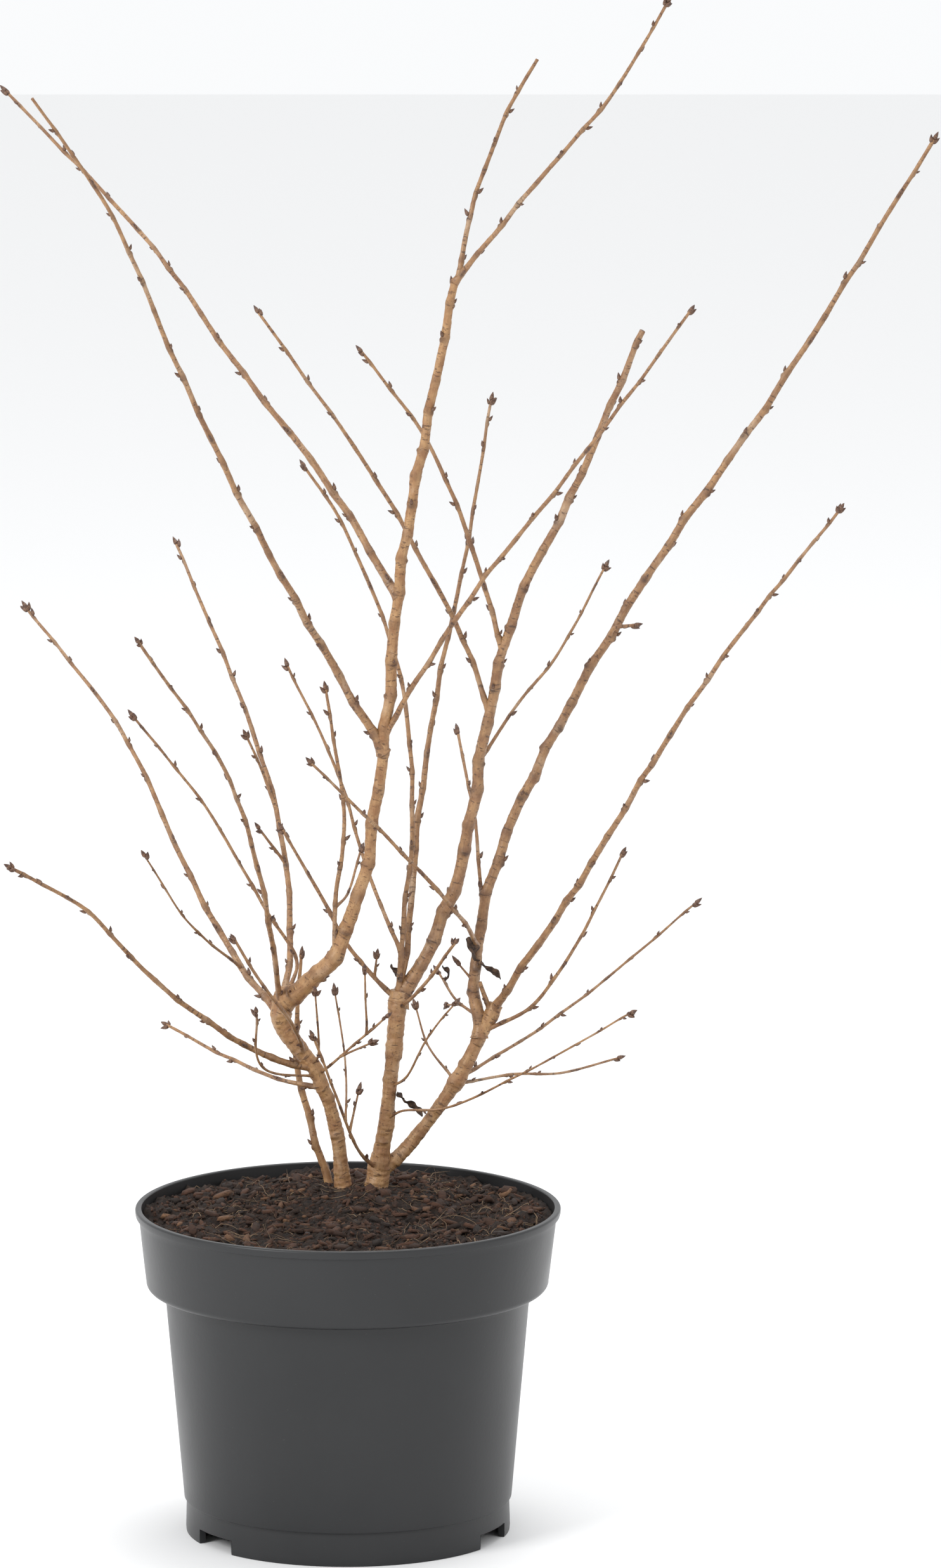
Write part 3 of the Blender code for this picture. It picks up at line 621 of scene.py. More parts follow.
def smooth_route(places, step):
    """A centripetal Catmull-Rom curve: on each span, the cubic that leaves and arrives
    along the blended slopes of its neighbours; then evenly spaced along its length."""
    ends = np.vstack([2 * places[0] - places[1], places, 2 * places[-1] - places[-2]])
    gaps = np.sqrt(np.linalg.norm(np.diff(ends, axis=0), axis=1))[:, None]
    slopes = np.diff(ends, axis=0) / gaps
    before, span, after = gaps[:-2], gaps[1:-1], gaps[2:]
    across_start = (ends[2:-1] - ends[:-3]) / (before + span)
    across_end = (ends[3:] - ends[1:-2]) / (span + after)
    leaving = (slopes[:-2] - across_start + slopes[1:-1]) * span
    arriving = (slopes[1:-1] - across_end + slopes[2:]) * span
    t = (np.arange(SAMPLES) / SAMPLES)[None, :, None]
    start, end = ends[1:-2, None], ends[2:-1, None]
    curve = ((2 * t**3 - 3 * t**2 + 1) * start + (t**3 - 2 * t**2 + t) * leaving[:, None]
             + (3 * t**2 - 2 * t**3) * end + (t**3 - t**2) * arriving[:, None])
    curve = np.vstack([curve.reshape(-1, 3), places[-1]])
    lengths = np.append(0, np.cumsum(np.linalg.norm(np.diff(curve, axis=0), axis=1)))
    along = np.linspace(0, lengths[-1], max(3, round(lengths[-1] / step)) + 1)
    return read_at(along, lengths, curve), along


def read_at(wanted, known, vectors):
    """Vectors that are known at some values, read at other values between them."""
    return np.stack([np.interp(wanted, known, vectors[:, axis]) for axis in range(3)], axis=-1)


def side_axes(line):
    """Two directions across a route at each point, from the direction in which it bends least."""
    ahead = unit(np.gradient(line, axis=0))
    flattest = np.linalg.svd(line - line.mean(0))[2][2]
    first = unit(np.cross(ahead, flattest))
    return first, np.cross(ahead, first)


print("points on a span before spacing:", SAMPLES)

# %% [markdown]
# ## Joints
# A living shoot isn't quite smooth.  At each joint, where a bud sits, it bends a
# little away from the bud.  The joints are a centimetre or two apart, and each is
# turned about 137.5 degrees from the last, as on most twigs.  They could be placed
# one by one, but seeded chance gives the same habit to the whole plant.  The old
# wood of the stems is too thick to bend at its joints.

# %% The plant's habit
TURN = np.radians(137.5)
JOINT_GAPS = (0.0105, 0.0195)
JOINT_BEND = 0.34
TIP_CLEAR = 0.004
OLD_STEP = 0.00045
YOUNG_STEP = 0.0006
STEP_PER_WIDTH = 0.03
OLD_SIDES = 40
THICK_SIDES = 20
THIN_SIDES = 14
THICK = 0.004
CUT_ENDS = ("leader_cut_top", "right_centre", "front_left", "stub_twigs")
OLD_WOOD = ("left_stem", "centre_stem", "right_stem")

Shoot = namedtuple("Shoot", "name line along radii joints turns sides axes end")
print("joints lie", JOINT_GAPS, "metres apart, and bend all but", OLD_WOOD)

# %% Where a limb starts, and how it bends
def parent_place(limb, parents):
    """The limb that carries this one, and the share of its length where this one leaves.
    A mass of twigs that goes on from a bough counts its shares from the bough's end."""
    if limb.parent in parents:
        return parents[limb.parent], limb.share
    bough = limb.parent.removesuffix("_twigs")
    start = {other.name: other.bough for other in BOUGHS}[bough]
    return parents[bough], start + (1 - start) * limb.share


def foot_of(limb, parents):
    """Where a limb starts: in the soil, or on its parent's middle line."""
    if limb.parent is None:
        return np.array(limb.share) * MM
    parent, share = parent_place(limb, parents)
    return read_at(share * parent.along[-1], parent.along, parent.line)


def aside(axes, at, turn):
    """Direction across a route: cosine of the turn along one axis, sine along the other."""
    return np.cos(turn)[..., None] * axes[0][at] + np.sin(turn)[..., None] * axes[1][at]


def bent(line, along, radii, joints, turns):
    """The route moved away from each bud by a share of its radius, less and less towards
    the next joint."""
    at = np.searchsorted(along, joints)
    bends = -aside(side_axes(line), at, turns) * radii[at][:, None] * JOINT_BEND
    spots = np.concatenate([[0], joints, [along[-1]]])
    return line + read_at(along, spots, np.vstack([[0, 0, 0], bends, [0, 0, 0]]))


print("the first stem starts at", foot_of(STEMS[0], {}))

# %% Growing every limb
def grow(limb, parents, chance):
    """Work out a limb's route, thickness and joints."""
    old = limb.name in OLD_WOOD
    thick = max(limb.across) * MM
    step = OLD_STEP if old else YOUNG_STEP + STEP_PER_WIDTH * thick
    places = np.vstack([foot_of(limb, parents), np.array(limb.route) * MM])
    line, along = smooth_route(places, step)
    radii = np.interp(along, np.linspace(0, along[-1], len(limb.across)), limb.across) / 2 * MM
    enough = int(along[-1] / np.mean(JOINT_GAPS)) + 2
    joints = np.cumsum(chance.uniform(*JOINT_GAPS, enough)) - JOINT_GAPS[0] / 2
    joints = joints[joints < along[-1] - TIP_CLEAR]
    turns = chance.uniform(0, FULL_TURN) + np.arange(len(joints)) * TURN
    if not old and len(joints) > 1:
        line = bent(line, along, radii, joints, turns)
    sides = OLD_SIDES if old else THICK_SIDES if thick > THICK else THIN_SIDES
    end = "cut" if limb.name in CUT_ENDS else "bud"
    return Shoot(limb.name, line, along, radii, joints, turns, sides, side_axes(line), end)


chance = np.random.default_rng(SEED)
shoots = {}
for limb in STEMS + BOUGHS + TWIGS + SIDE_SHOOTS:
    shoots[limb.name] = grow(limb, shoots, chance)
print("metres of shoot:", round(sum(shoot.along[-1] for shoot in shoots.values()), 2))

# %% [markdown]
# ## The skin of a limb
# A limb could be a curve with a bevel, but then every ring is a perfect circle.
# Here its surface is a ring of points at every step along its route, and each
# point's distance from the middle is worked out: the limb's own radius, wider in
# a collar at its foot and at each joint, with a small shelf under each bud, knots
# where old wood has healed, and a fine uneven skin.

# %% The sizes of the skin
SLIM = 0.94
COLLAR_LENGTH = 0.0035
YOUNG_COLLAR = 0.75
OLD_COLLAR = 0.25
SWELL_LENGTH = 0.0021
SWELL_HEIGHT = 0.11
SHELF_LENGTH = 0.0011
SHELF_WIDTH = 0.62
SHELF_LEAST = 0.00018
SHELF_HEIGHT = 0.30
OLD_JOINTS = 0.5
RING_DARK = 0.35
SHELF_DARK = 0.9
END_DARK = 0.3
UNEVEN = 0.045
UNEVEN_SEED = 3
UNEVEN_LEAST = 0.006
UNEVEN_PER_RADIUS = 4
KNOTTY = 0.035
KNOTTY_SEED = 4
KNOTTY_SIZE = 0.0042
KNOTTY_CLOSER = 1.3

# Knots of old wood: limb, share of its length, side, height against the radius, length
Knot = namedtuple("Knot", "limb share side height length")
KNOTS = [
    Knot("left_stem", 0.90, 2.4, 0.34, 0.005), Knot("left_stem", 0.97, 5.2, 0.36, 0.004),
    Knot("left_stem", 0.52, 0.4, 0.32, 0.004), Knot("left_stem", 0.60, 3.4, 0.22, 0.004),
    Knot("centre_stem", 0.36, 3.1, 0.42, 0.006), Knot("centre_stem", 0.93, 1.0, 0.30, 0.006),
    Knot("centre_stem", 0.99, 4.2, 0.32, 0.005), Knot("centre_stem", 0.13, 5.2, 0.26, 0.006),
    Knot("centre_stem", 0.72, 4.7, 0.30, 0.004), Knot("right_stem", 0.60, 2.0, 0.34, 0.004),
    Knot("right_stem", 0.94, 3.6, 0.36, 0.005), Knot("right_stem", 0.58, 5.0, 0.28, 0.004),
    Knot("leader", 0.045, 2.0, 0.30, 0.006), Knot("leader", 0.09, 5.4, 0.22, 0.005),
    Knot("leader", 0.40, 4.2, 0.30, 0.003), Knot("leader", 0.74, 4.8, 0.26, 0.003),
    Knot("right_centre", 0.03, 1.0, 0.34, 0.006), Knot("right", 0.03, 3.0, 0.30, 0.006),
]
print("knots:", len(KNOTS), "on", len({knot.limb for knot in KNOTS}), "limbs")

# %% Points on a straight limb
LEAST_RADIUS = 0.0008
PATTERN_SHIFTS = 97
PATTERN_SHIFT = 0.013


def bell(distance, length):
    """A smooth bump: e to the power of minus the squared distance over the length."""
    return np.exp(-(distance / length) ** 2)


def straightened(shoot, angles):
    """Where each point would lie on a straight limb: round the axis, and along it.
    The letters of the limb's name shift it, so that no two limbs look alike."""
    base = np.maximum(shoot.radii[:, None], LEAST_RADIUS)
    shift = (sum(map(ord, shoot.name)) % PATTERN_SHIFTS) * PATTERN_SHIFT
    rounds = [base * np.cos(angles) + shift, base * np.sin(angles) - shift,
              shoot.along[:, None] + 0 * angles + shift]
    return np.stack(rounds, axis=-1)


print("pulled straight, the leader is", round(shoots["leader"].along[-1], 3), "metres long")

# %% The radius of the skin
def skin_radius(shoot, angles, place):
    """Radius of every point, and how near it is to a bud, from 0 to 1.  The radius is the
    limb's own times its collar, plus joints, shelves and knots, times two sets of waves."""
    old = shoot.name in OLD_WOOD
    base = SLIM * shoot.radii[:, None]
    collar = (OLD_COLLAR if old else YOUNG_COLLAR) * np.exp(-shoot.along[:, None] / COLLAR_LENGTH)
    radius = base * (1 + collar) * np.ones((1, len(angles)))
    away = shoot.along[:, None] - shoot.joints[None, :]
    side = np.angle(np.exp(1j * (angles[None, :] - shoot.turns[:, None])))
    swell = bell(away, SWELL_LENGTH).sum(1, keepdims=True)
    shelf = bell(away + SHELF_LENGTH, SHELF_LENGTH) @ bell(side, SHELF_WIDTH)
    strength = OLD_JOINTS if old else 1.0
    radius += base * SWELL_HEIGHT * strength * swell
    radius += strength * (SHELF_LEAST + SHELF_HEIGHT * base) * shelf
    size = UNEVEN_LEAST + UNEVEN_PER_RADIUS * shoot.radii.mean()
    radius *= 1 + UNEVEN * waves(place.reshape(-1, 3), size, UNEVEN_SEED).reshape(radius.shape)
    for knot in KNOTS:
        if knot.limb == shoot.name:
            far = shoot.along[:, None] - knot.share * shoot.along[-1]
            facing = 0.5 + 0.5 * np.cos(angles[None, :] - knot.side)
            radius += base * knot.height * bell(far, knot.length) * facing
    closer = (place * np.array([1.0, 1.0, KNOTTY_CLOSER])).reshape(-1, 3)
    radius *= 1 + KNOTTY * waves(closer, KNOTTY_SIZE, KNOTTY_SEED).reshape(radius.shape)
    return radius, strength * np.clip(RING_DARK * swell + SHELF_DARK * shelf, 0, 1)


print("the skin has waves of", UNEVEN, "and", KNOTTY, "of its radius")

# %% Rings of skin
def skin(shoot, heap):
    """Add the skin of a limb to a heap: middle line plus radius times direction, all round."""
    angles = round_angles(shoot.sides)
    place = straightened(shoot, angles)
    radius, nearness = skin_radius(shoot, angles, place)
    across, over = shoot.axes
    heading = np.cos(angles)[:, None] * across[:, None] + np.sin(angles)[:, None] * over[:, None]
    points = shoot.line[:, None] + radius[..., None] * heading
    heap.add(np.vstack([points.reshape(-1, 3), shoot.line[:1], shoot.line[-1:]]),
             grid_faces(*radius.shape),
             straightened=np.vstack([place.reshape(-1, 3), place[0].mean(0), place[-1].mean(0)]),
             joint=np.concatenate([nearness.ravel(), [END_DARK, END_DARK]]))


print("a ring of the leader has", shoots["leader"].sides, "points")

# %% [markdown]
# ## Stems, boughs and twigs
# The plant's wood could be one mesh.  It is three pieces, because each stands for
# its own part of the frame: the stems with the leader, the central limb; the long
# shoots, each with the mass of twigs that it ends in; and the other twigs, with
# the side shoots on them.  The oldest wood has the palest bark, so the first piece
# has a finish of its own.

# %% The plant's wood
def node_names(limb):
    """The frame's nodes that a limb accounts for; a side shoot has none of its own."""
    names = (limb.name,) if limb.bough == 1 else (limb.name + "_bough", limb.name + "_twigs", limb.name)
    return [name for name in names if name in frame["nodes"]]


def wood(name, limbs, finish, slot):
    """One piece for several limbs, which replaces all their nodes."""
    heap = Heap()
    for limb in limbs:
        skin(shoots[limb.name], heap)
    piece = heap.piece(name, finish, slot)
    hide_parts(*[node for limb in limbs for node in node_names(limb)])


wood("stems_and_leader", STEMS + [limb for limb in BOUGHS if limb.bough == 1], STEM_BARK, "bark")
wood("long_shoots", [limb for limb in BOUGHS if limb.bough < 1], TWIG_BARK, "bark")
wood("twigs", TWIGS + SIDE_SHOOTS, TWIG_BARK, "twigs")

# %% [markdown]
# ## Buds
# A cherry's winter bud is a pointed egg of overlapping brown scales, two to four
# millimetres long.  It sits on its shelf and leans out from the twig, and several
# crowd together at a shoot's tip.  A sphere pulled to a point would miss the
# scales, so one bud is modelled as rings with a small step at each scale.  It is
# copied to the joints with its own size, lean and turn.

# %% One bud
BUD_RINGS = [(0.0, 0.55), (0.10, 0.86), (0.24, 1.0), (0.27, 0.93), (0.45, 0.90), (0.50, 0.80),
             (0.68, 0.60), (0.86, 0.30), (0.96, 0.11)]
SCALE_TIPS = (0.24, 0.45)
BUD_FOOT = -0.05
BUD_SIDES = 7
BUD_RADIUS = 0.00095
BUD_LENGTH = 0.0037


def bud_shape():
    """A unit bud: rings at shares of its length with shares of its width, and two ends."""
    rings = np.array(BUD_RINGS)
    angles = round_angles(BUD_SIDES)
    wide, up = rings[:, 1:], rings[:, :1] * np.ones(BUD_SIDES)
    points = np.stack([wide * np.cos(angles), wide * np.sin(angles), up], axis=-1).reshape(-1, 3)
    return np.vstack([points, [[0, 0, BUD_FOOT], [0, 0, 1]]]), grid_faces(len(rings), BUD_SIDES)


shape, shape_blocks = bud_shape()
print("a bud has", len(shape), "points")

# %% Buds at the joints
THICK_WOOD = 0.0022
BARE_SHARE = 0.72
THIN_WOOD = 0.0007
THIN_BUD = 0.8
JOINT_LEAN = (20, 42)
JOINT_BUD_SIZE = (0.62, 1.0)
BUD_SEAT = 0.95


def joint_buds(shoot, ahead, chance):
    """Root, direction and size of a bud at each joint; thick wood has lost most of its own."""
    for joint, turn in zip(shoot.joints, shoot.turns):
        at = min(np.searchsorted(shoot.along, joint), len(shoot.line) - 1)
        thick = shoot.radii[at]
        if thick > THICK_WOOD and chance.uniform() < BARE_SHARE:
            continue
        out = aside(shoot.axes, at, turn)
        lean = np.radians(chance.uniform(*JOINT_LEAN))
        size = chance.uniform(*JOINT_BUD_SIZE) * (1.0 if thick > THIN_WOOD else THIN_BUD)
        yield (shoot.line[at] + out * thick * BUD_SEAT,
               ahead[at] * np.cos(lean) + out * np.sin(lean), size)


# %% Buds at the tips, and all their places
TIP_BUDS = (3, 6)
TIP_LEAN = (18, 40)
TIP_BUD_SIZE = (0.8, 1.15)
END_LEAN = 0.05
END_BUD_SIZE = 1.15
TIP_BACK = 0.0016
TIP_ASIDE = 0.5


def tip_buds(shoot, ahead, chance):
    """Root, direction and size of the group at a tip: a large end bud, and some round it."""
    for number in range(chance.integers(*TIP_BUDS)):
        out = aside(shoot.axes, -1, chance.uniform(0, FULL_TURN))
        lean = np.radians(chance.uniform(*TIP_LEAN)) if number else END_LEAN
        size = chance.uniform(*TIP_BUD_SIZE) if number else END_BUD_SIZE
        back = ahead[-1] * TIP_BACK * (number > 0)
        yield (shoot.line[-1] - back + out * shoot.radii[-1] * TIP_ASIDE * (number > 0),
               ahead[-1] * np.cos(lean) + out * np.sin(lean), size)


places = []
for shoot in shoots.values():
    if shoot.name not in OLD_WOOD:
        ahead = unit(np.gradient(shoot.line, axis=0))
        places += joint_buds(shoot, ahead, chance)
        if shoot.end == "bud":
            places += tip_buds(shoot, ahead, chance)
print("buds:", len(places))

# %% [markdown]
# ## The finish of the buds
# A bud's scales are dark brown, with a paler dry edge.  The edge could be drawn by
# a noise, but it has to follow the steps in the shape, so the mesh stores which
# points lie on a scale's tip.

# %% The buds' finish and all the buds
BUD_PATTERN = Pattern(900.0, 3.0, 0.35, 0.65)
BUD_DARK = paint(0.045, 0.021, 0.014)
BUD_LIGHT = paint(0.12, 0.055, 0.03)
SCALE_EDGE = paint(0.22, 0.12, 0.065)
SCALE_EDGE_SHOWS = 0.6
BUD_RELIEF = 0.0002
BUD_BUMP = 0.6

bud_finish = Finish("bud_scales", (0.08, 0.036, 0.022), 0.5)
bud_noise = bud_finish.noise(bud_finish.place(), BUD_PATTERN)
bud_marks = bud_finish.between(bud_noise, BUD_PATTERN.low, BUD_PATTERN.high)
bud_skin = bud_finish.mix(bud_marks, BUD_DARK, BUD_LIGHT)
scale_edge = bud_finish.stored("scale_edge")
bud_finish.use(bud_finish.tint(SCALE_EDGE_SHOWS, scale_edge, bud_skin, SCALE_EDGE), "Base Color")
bud_finish.bump(bud_noise, BUD_RELIEF, BUD_BUMP)

roots, directions, sizes = (np.array(column) for column in zip(*places))
sizes = sizes[:, None] * np.array([[BUD_RADIUS, BUD_RADIUS, BUD_LENGTH]])
axes = frames_along(unit(directions), chance.uniform(0, FULL_TURN, len(places)))
edge = np.isin(np.round(shape[:, 2], 2), SCALE_TIPS).astype(float)
buds = Heap()
buds.add(copies(shape, roots, axes, sizes), copied_faces(shape_blocks, len(shape), len(places)),
         scale_edge=np.tile(edge, len(places)))
buds.piece("buds", bud_finish.material, "twigs")

# %% [markdown]
# ## Dead leaves
# A few of last year's leaves still hang where they withered, dark, curled and
# folded into rags.  Cloth simulation could crumple them, but they are only a
# centimetre or two long.  Each is a flattened tube along a coiling route: its width
# swells and shrinks, its two faces stay a hair apart, and waves crumple it.

# %% The shape of a withered leaf
DeadLeaf = namedtuple("DeadLeaf", "place heading length width coils")
DEAD_LEAVES = [
    DeadLeaf((58, 44, 249.5), (-1.0, -0.1, 0.35), 0.015, 0.0040, 0.9),
    DeadLeaf((59.5, 39, 250), (0.05, -0.2, -1.0), 0.015, 0.0034, 0.7),
    DeadLeaf((19, 33, 250), (-0.2, -0.4, -1.0), 0.011, 0.0026, 1.1),
    DeadLeaf((22, 30, 192), (0.0, -0.1, -1.0), 0.020, 0.0036, 0.7),
    DeadLeaf((42, 50, 246), (-0.2, 0.1, -1.0), 0.010, 0.0016, 1.6),
]
LEAF_ROWS = 40
LEAF_COLUMNS = 16
LEAF_THICKNESS = 0.00016
LEAF_REACH = 0.55
COIL_OVER = 0.5
COIL_ACROSS = 0.35
LEAST_COILS = 0.5
LEAF_TWIST = 0.4
LEAF_FOLD = 0.55
LEAF_ENDS = (0.06, 0.96)
CRUMPLE = 0.0005
CRUMPLE_SIZE = 0.0045


def withered(leaf, seed):
    """A flattened tube: its route coils, its half width is a sine, and its edges curl over."""
    share = np.linspace(0, 1, LEAF_ROWS)
    ahead = unit(np.array(leaf.heading))
    across, over = frames_along(ahead[None], np.zeros(1))[0][:2]
    bend = leaf.coils * np.pi * share
    reach = leaf.length / max(leaf.coils, LEAST_COILS) / 2
    route = (np.array(leaf.place) * MM + np.outer(share * leaf.length * LEAF_REACH, ahead)
             + np.outer(reach * COIL_OVER * (1 - np.cos(bend)), over)
             + np.outer(reach * COIL_ACROSS * np.sin(bend), across))
    forward = unit(np.gradient(route, axis=0))
    side = unit(np.cross(forward, over + LEAF_TWIST * across))
    face = np.cross(side, forward)
    half_width = leaf.width * np.sin(np.pi * np.linspace(*LEAF_ENDS, LEAF_ROWS))[:, None]
    angle = round_angles(LEAF_COLUMNS)
    out, up = half_width * np.cos(angle), LEAF_THICKNESS * np.sin(angle)
    points = (route[:, None] + out[..., None] * side[:, None]
              + (up + LEAF_FOLD * np.abs(out))[..., None] * face[:, None])
    crumple = waves(points.reshape(-1, 3), CRUMPLE_SIZE, seed).reshape(out.shape)
    points += (CRUMPLE * crumple)[..., None] * face[:, None]
    return np.vstack([points.reshape(-1, 3), points[0].mean(0), points[-1].mean(0)])


print("a leaf has", len(withered(DEAD_LEAVES[0], 0)), "points")

# %% The withered leaves
LEAF_PATTERN = Pattern(600.0, 4.0, 0.4, 0.65)
LEAF_DARK = paint(0.022, 0.013, 0.009)
LEAF_LIGHT = paint(0.11, 0.06, 0.034)
LEAF_RELIEF = 0.0004
LEAF_BUMP = 0.8

leaf_finish = Finish("withered_leaf", (0.03, 0.018, 0.012), 0.8)
veins = leaf_finish.noise(leaf_finish.place(), LEAF_PATTERN)
leaf_marks = leaf_finish.between(veins, LEAF_PATTERN.low, LEAF_PATTERN.high)
leaf_finish.use(leaf_finish.mix(leaf_marks, LEAF_DARK, LEAF_LIGHT), "Base Color")
leaf_finish.bump(veins, LEAF_RELIEF, LEAF_BUMP)
leaf_heap = Heap()
for seed, leaf in enumerate(DEAD_LEAVES):
    leaf_heap.add(withered(leaf, seed), grid_faces(LEAF_ROWS, LEAF_COLUMNS))
leaf_heap.piece("withered_leaves", leaf_finish.material, "twigs")

# %% [markdown]
# ## The pot
# A nursery pot is moulded thin, in a dull dark grey plastic.  It has a rolled lip,
# a stepped band below it, a tapering wall and a foot ring with three gaps that let
# the water out.  It could be built from cylinders with bevels, but it is a turned
# shape, so one profile is swept round the axis.  The gaps are made by lifting the
# foot's lowest points where they lie.

# %% The pot's sizes
RIM_RADIUS = 0.095
POT_HEIGHT = 0.147
WALL = 0.0015
LIP_OUT = 0.0013
LIP_HEIGHT = 0.0035
LIP_ROUND = 0.0009
INNER_LIP_ROUND = 0.0006
LIP_BULGE = 0.3
BAND_BOTTOM = 0.1105
BAND_BOTTOM_RADIUS = 0.0893
BAND_CORNER = 0.003
BODY_TOP_RADIUS = 0.0815
BODY_FOOT_RADIUS = 0.0732
FOOT_LINE = 0.0158
FOOT_STEP = 0.0009
FOOT_RADIUS = 0.0725
FOOT_WALL = 0.003
FLOOR_UNDERSIDE = 0.007
FLOOR_TOP = 0.009
MIDDLE_FOOT_RADIUS = 0.024
MIDDLE_FOOT_SLOPE = 0.002
HAIR = 0.0001


def wall_radius(height):
    """The pot's outer radius at a height: one taper on its body, another on its band."""
    height = np.asarray(height, float)
    body = np.interp(height, [FOOT_LINE, BAND_BOTTOM], [BODY_FOOT_RADIUS, BODY_TOP_RADIUS])
    band = np.interp(height, [BAND_BOTTOM, POT_HEIGHT], [BAND_BOTTOM_RADIUS, RIM_RADIUS - LIP_OUT])
    return np.where(height < BAND_BOTTOM, body, band)


print("the wall's radius halfway up:", round(float(wall_radius(POT_HEIGHT / 2)), 4))

# %% Stretches of a profile
def arc(centre, radius, start, stop, parts):
    """Points on an arc of a circle, between two angles in degrees."""
    angles = np.radians(np.linspace(start, stop, parts))
    return np.stack([centre[0] + radius * np.cos(angles), centre[1] + radius * np.sin(angles)], 1)


def straight(first, last, parts):
    """Evenly spaced points on a straight stretch, without its last one."""
    share = np.linspace(0, 1, parts, endpoint=False)[:, None]
    return np.array(first) * (1 - share) + np.array(last) * share


print("a stretch in two parts:", straight((0, 0), (1, 1), 2).tolist())

# %% The pot's profile
def inner_profile(lip_foot, inner_lip, foot_inside):
    """Radius and height from the floor's middle, up the inside to the lip's top."""
    shelf = BAND_BOTTOM + WALL
    corner = (BAND_BOTTOM_RADIUS - BAND_CORNER, shelf)
    return [
        straight((0, FLOOR_TOP), (foot_inside, FLOOR_TOP), 4),
        straight((foot_inside, FLOOR_TOP), (BODY_TOP_RADIUS - WALL, shelf), 12),
        straight((BODY_TOP_RADIUS - WALL, shelf), corner, 2),
        straight(corner, (inner_lip, lip_foot), 8),
        arc((inner_lip + INNER_LIP_ROUND, POT_HEIGHT - INNER_LIP_ROUND), INNER_LIP_ROUND, 180, 90, 5),
    ]


def outer_profile(lip_foot):
    """Radius and height from the lip's top, over it and down the outside to the foot line."""
    corner_height = BAND_BOTTOM + BAND_CORNER
    corner = (wall_radius(corner_height) - BAND_CORNER, corner_height)
    return [
        arc((RIM_RADIUS - LIP_ROUND, POT_HEIGHT - LIP_ROUND), LIP_ROUND, 100, -10, 9),
        [(RIM_RADIUS - HAIR, lip_foot + LIP_BULGE * LIP_HEIGHT), (RIM_RADIUS - 4 * HAIR, lip_foot),
         (wall_radius(lip_foot) + HAIR, lip_foot - 4 * HAIR)],
        straight((wall_radius(lip_foot - MM), lip_foot - MM),
                 (wall_radius(corner_height), corner_height), 14),
        arc(corner, BAND_CORNER, 0, -90, 8),
        [(BODY_TOP_RADIUS + 6 * HAIR, BAND_BOTTOM), (BODY_TOP_RADIUS + HAIR, BAND_BOTTOM - 5 * HAIR)],
        straight((wall_radius(BAND_BOTTOM - MM), BAND_BOTTOM - MM), (BODY_FOOT_RADIUS, FOOT_LINE), 30),
        arc((BODY_FOOT_RADIUS - FOOT_STEP, FOOT_LINE), FOOT_STEP, 0, -90, 5),
    ]


def foot_profile(foot_inside):
    """Radius and height down the foot ring, under it, and along the underside."""
    step_radius = BODY_FOOT_RADIUS - FOOT_STEP - 2 * HAIR
    return [
        straight((step_radius, FOOT_LINE - FOOT_STEP - 3 * HAIR), (FOOT_RADIUS, 6 * HAIR), 12),
        [(FOOT_RADIUS - 2 * HAIR, HAIR), (FOOT_RADIUS - 6 * HAIR, 0),
         (foot_inside + 3 * HAIR, 0), (foot_inside, 3 * HAIR)],
        straight((foot_inside, MM), (foot_inside, FLOOR_UNDERSIDE), 6),
        [(foot_inside - 5 * HAIR, FLOOR_UNDERSIDE),
         (MIDDLE_FOOT_RADIUS + MIDDLE_FOOT_SLOPE, FLOOR_UNDERSIDE), (MIDDLE_FOOT_RADIUS, 0)],
    ]


def pot_profile():
    """The whole profile: up the inside, over the lip, down the outside and under the foot."""
    lip_foot = POT_HEIGHT - LIP_HEIGHT
    inner_lip = RIM_RADIUS - LIP_OUT - WALL
    foot_inside = FOOT_RADIUS - FOOT_WALL
    return np.vstack(inner_profile(lip_foot, inner_lip, foot_inside) + outer_profile(lip_foot)
                     + foot_profile(foot_inside))


profile = pot_profile()
print("the pot's profile has", len(profile), "points")

# %% [markdown]
# ## The pot's surface
# The gaps in the foot could be cut with a Boolean, but cuts leave ragged shading.
# Here two columns of points lie close together at each side of a gap, and between
# them the foot's points are lifted.  The rim is a little out of round, as on every
# soft pot full of soil.

# %% The pot swept round
POT_COLUMNS = 360
NOTCH_HEIGHT = 0.0065
NOTCH_HALF = np.radians(10)
NOTCHES_AT = np.radians([-25, 95, 215])
NOTCH_EDGE = 0.002
RIM_WARP = 0.00045
RIM_LOBES = 3
RIM_TURN = 0.8
RIM_SHRINK = 0.0003


def pot_angles():
    """Directions round the pot, with two close together at each side of each gap."""
    edges = [at + side * (NOTCH_HALF + push) for at in NOTCHES_AT for side in (-1, 1)
             for push in (-NOTCH_EDGE, NOTCH_EDGE)]
    return np.sort(np.concatenate([round_angles(POT_COLUMNS), np.mod(edges, FULL_TURN)]))


def pot_points(profile, angles):
    """The profile swept round: feet lifted in the gaps, and the rim a little out of round."""
    radius = profile[:, :1] * np.ones(len(angles))
    height = profile[:, 1:] * np.ones(len(angles))
    away = np.angle(np.exp(1j * (angles[None] - NOTCHES_AT[:, None])))
    gap = (np.abs(away) < NOTCH_HALF).any(0)
    outer_foot = (radius > FOOT_RADIUS - FOOT_WALL - HAIR) & (height < NOTCH_HEIGHT)
    height = np.where(outer_foot & gap[None], NOTCH_HEIGHT, height)
    soft = np.clip((height - BAND_BOTTOM) / (POT_HEIGHT - BAND_BOTTOM), 0, 1) ** 2
    warp = RIM_WARP * soft * np.cos(RIM_LOBES * angles + RIM_TURN)
    radius = radius + warp - RIM_SHRINK * soft
    return np.stack([radius * np.cos(angles), radius * np.sin(angles), height], axis=-1)


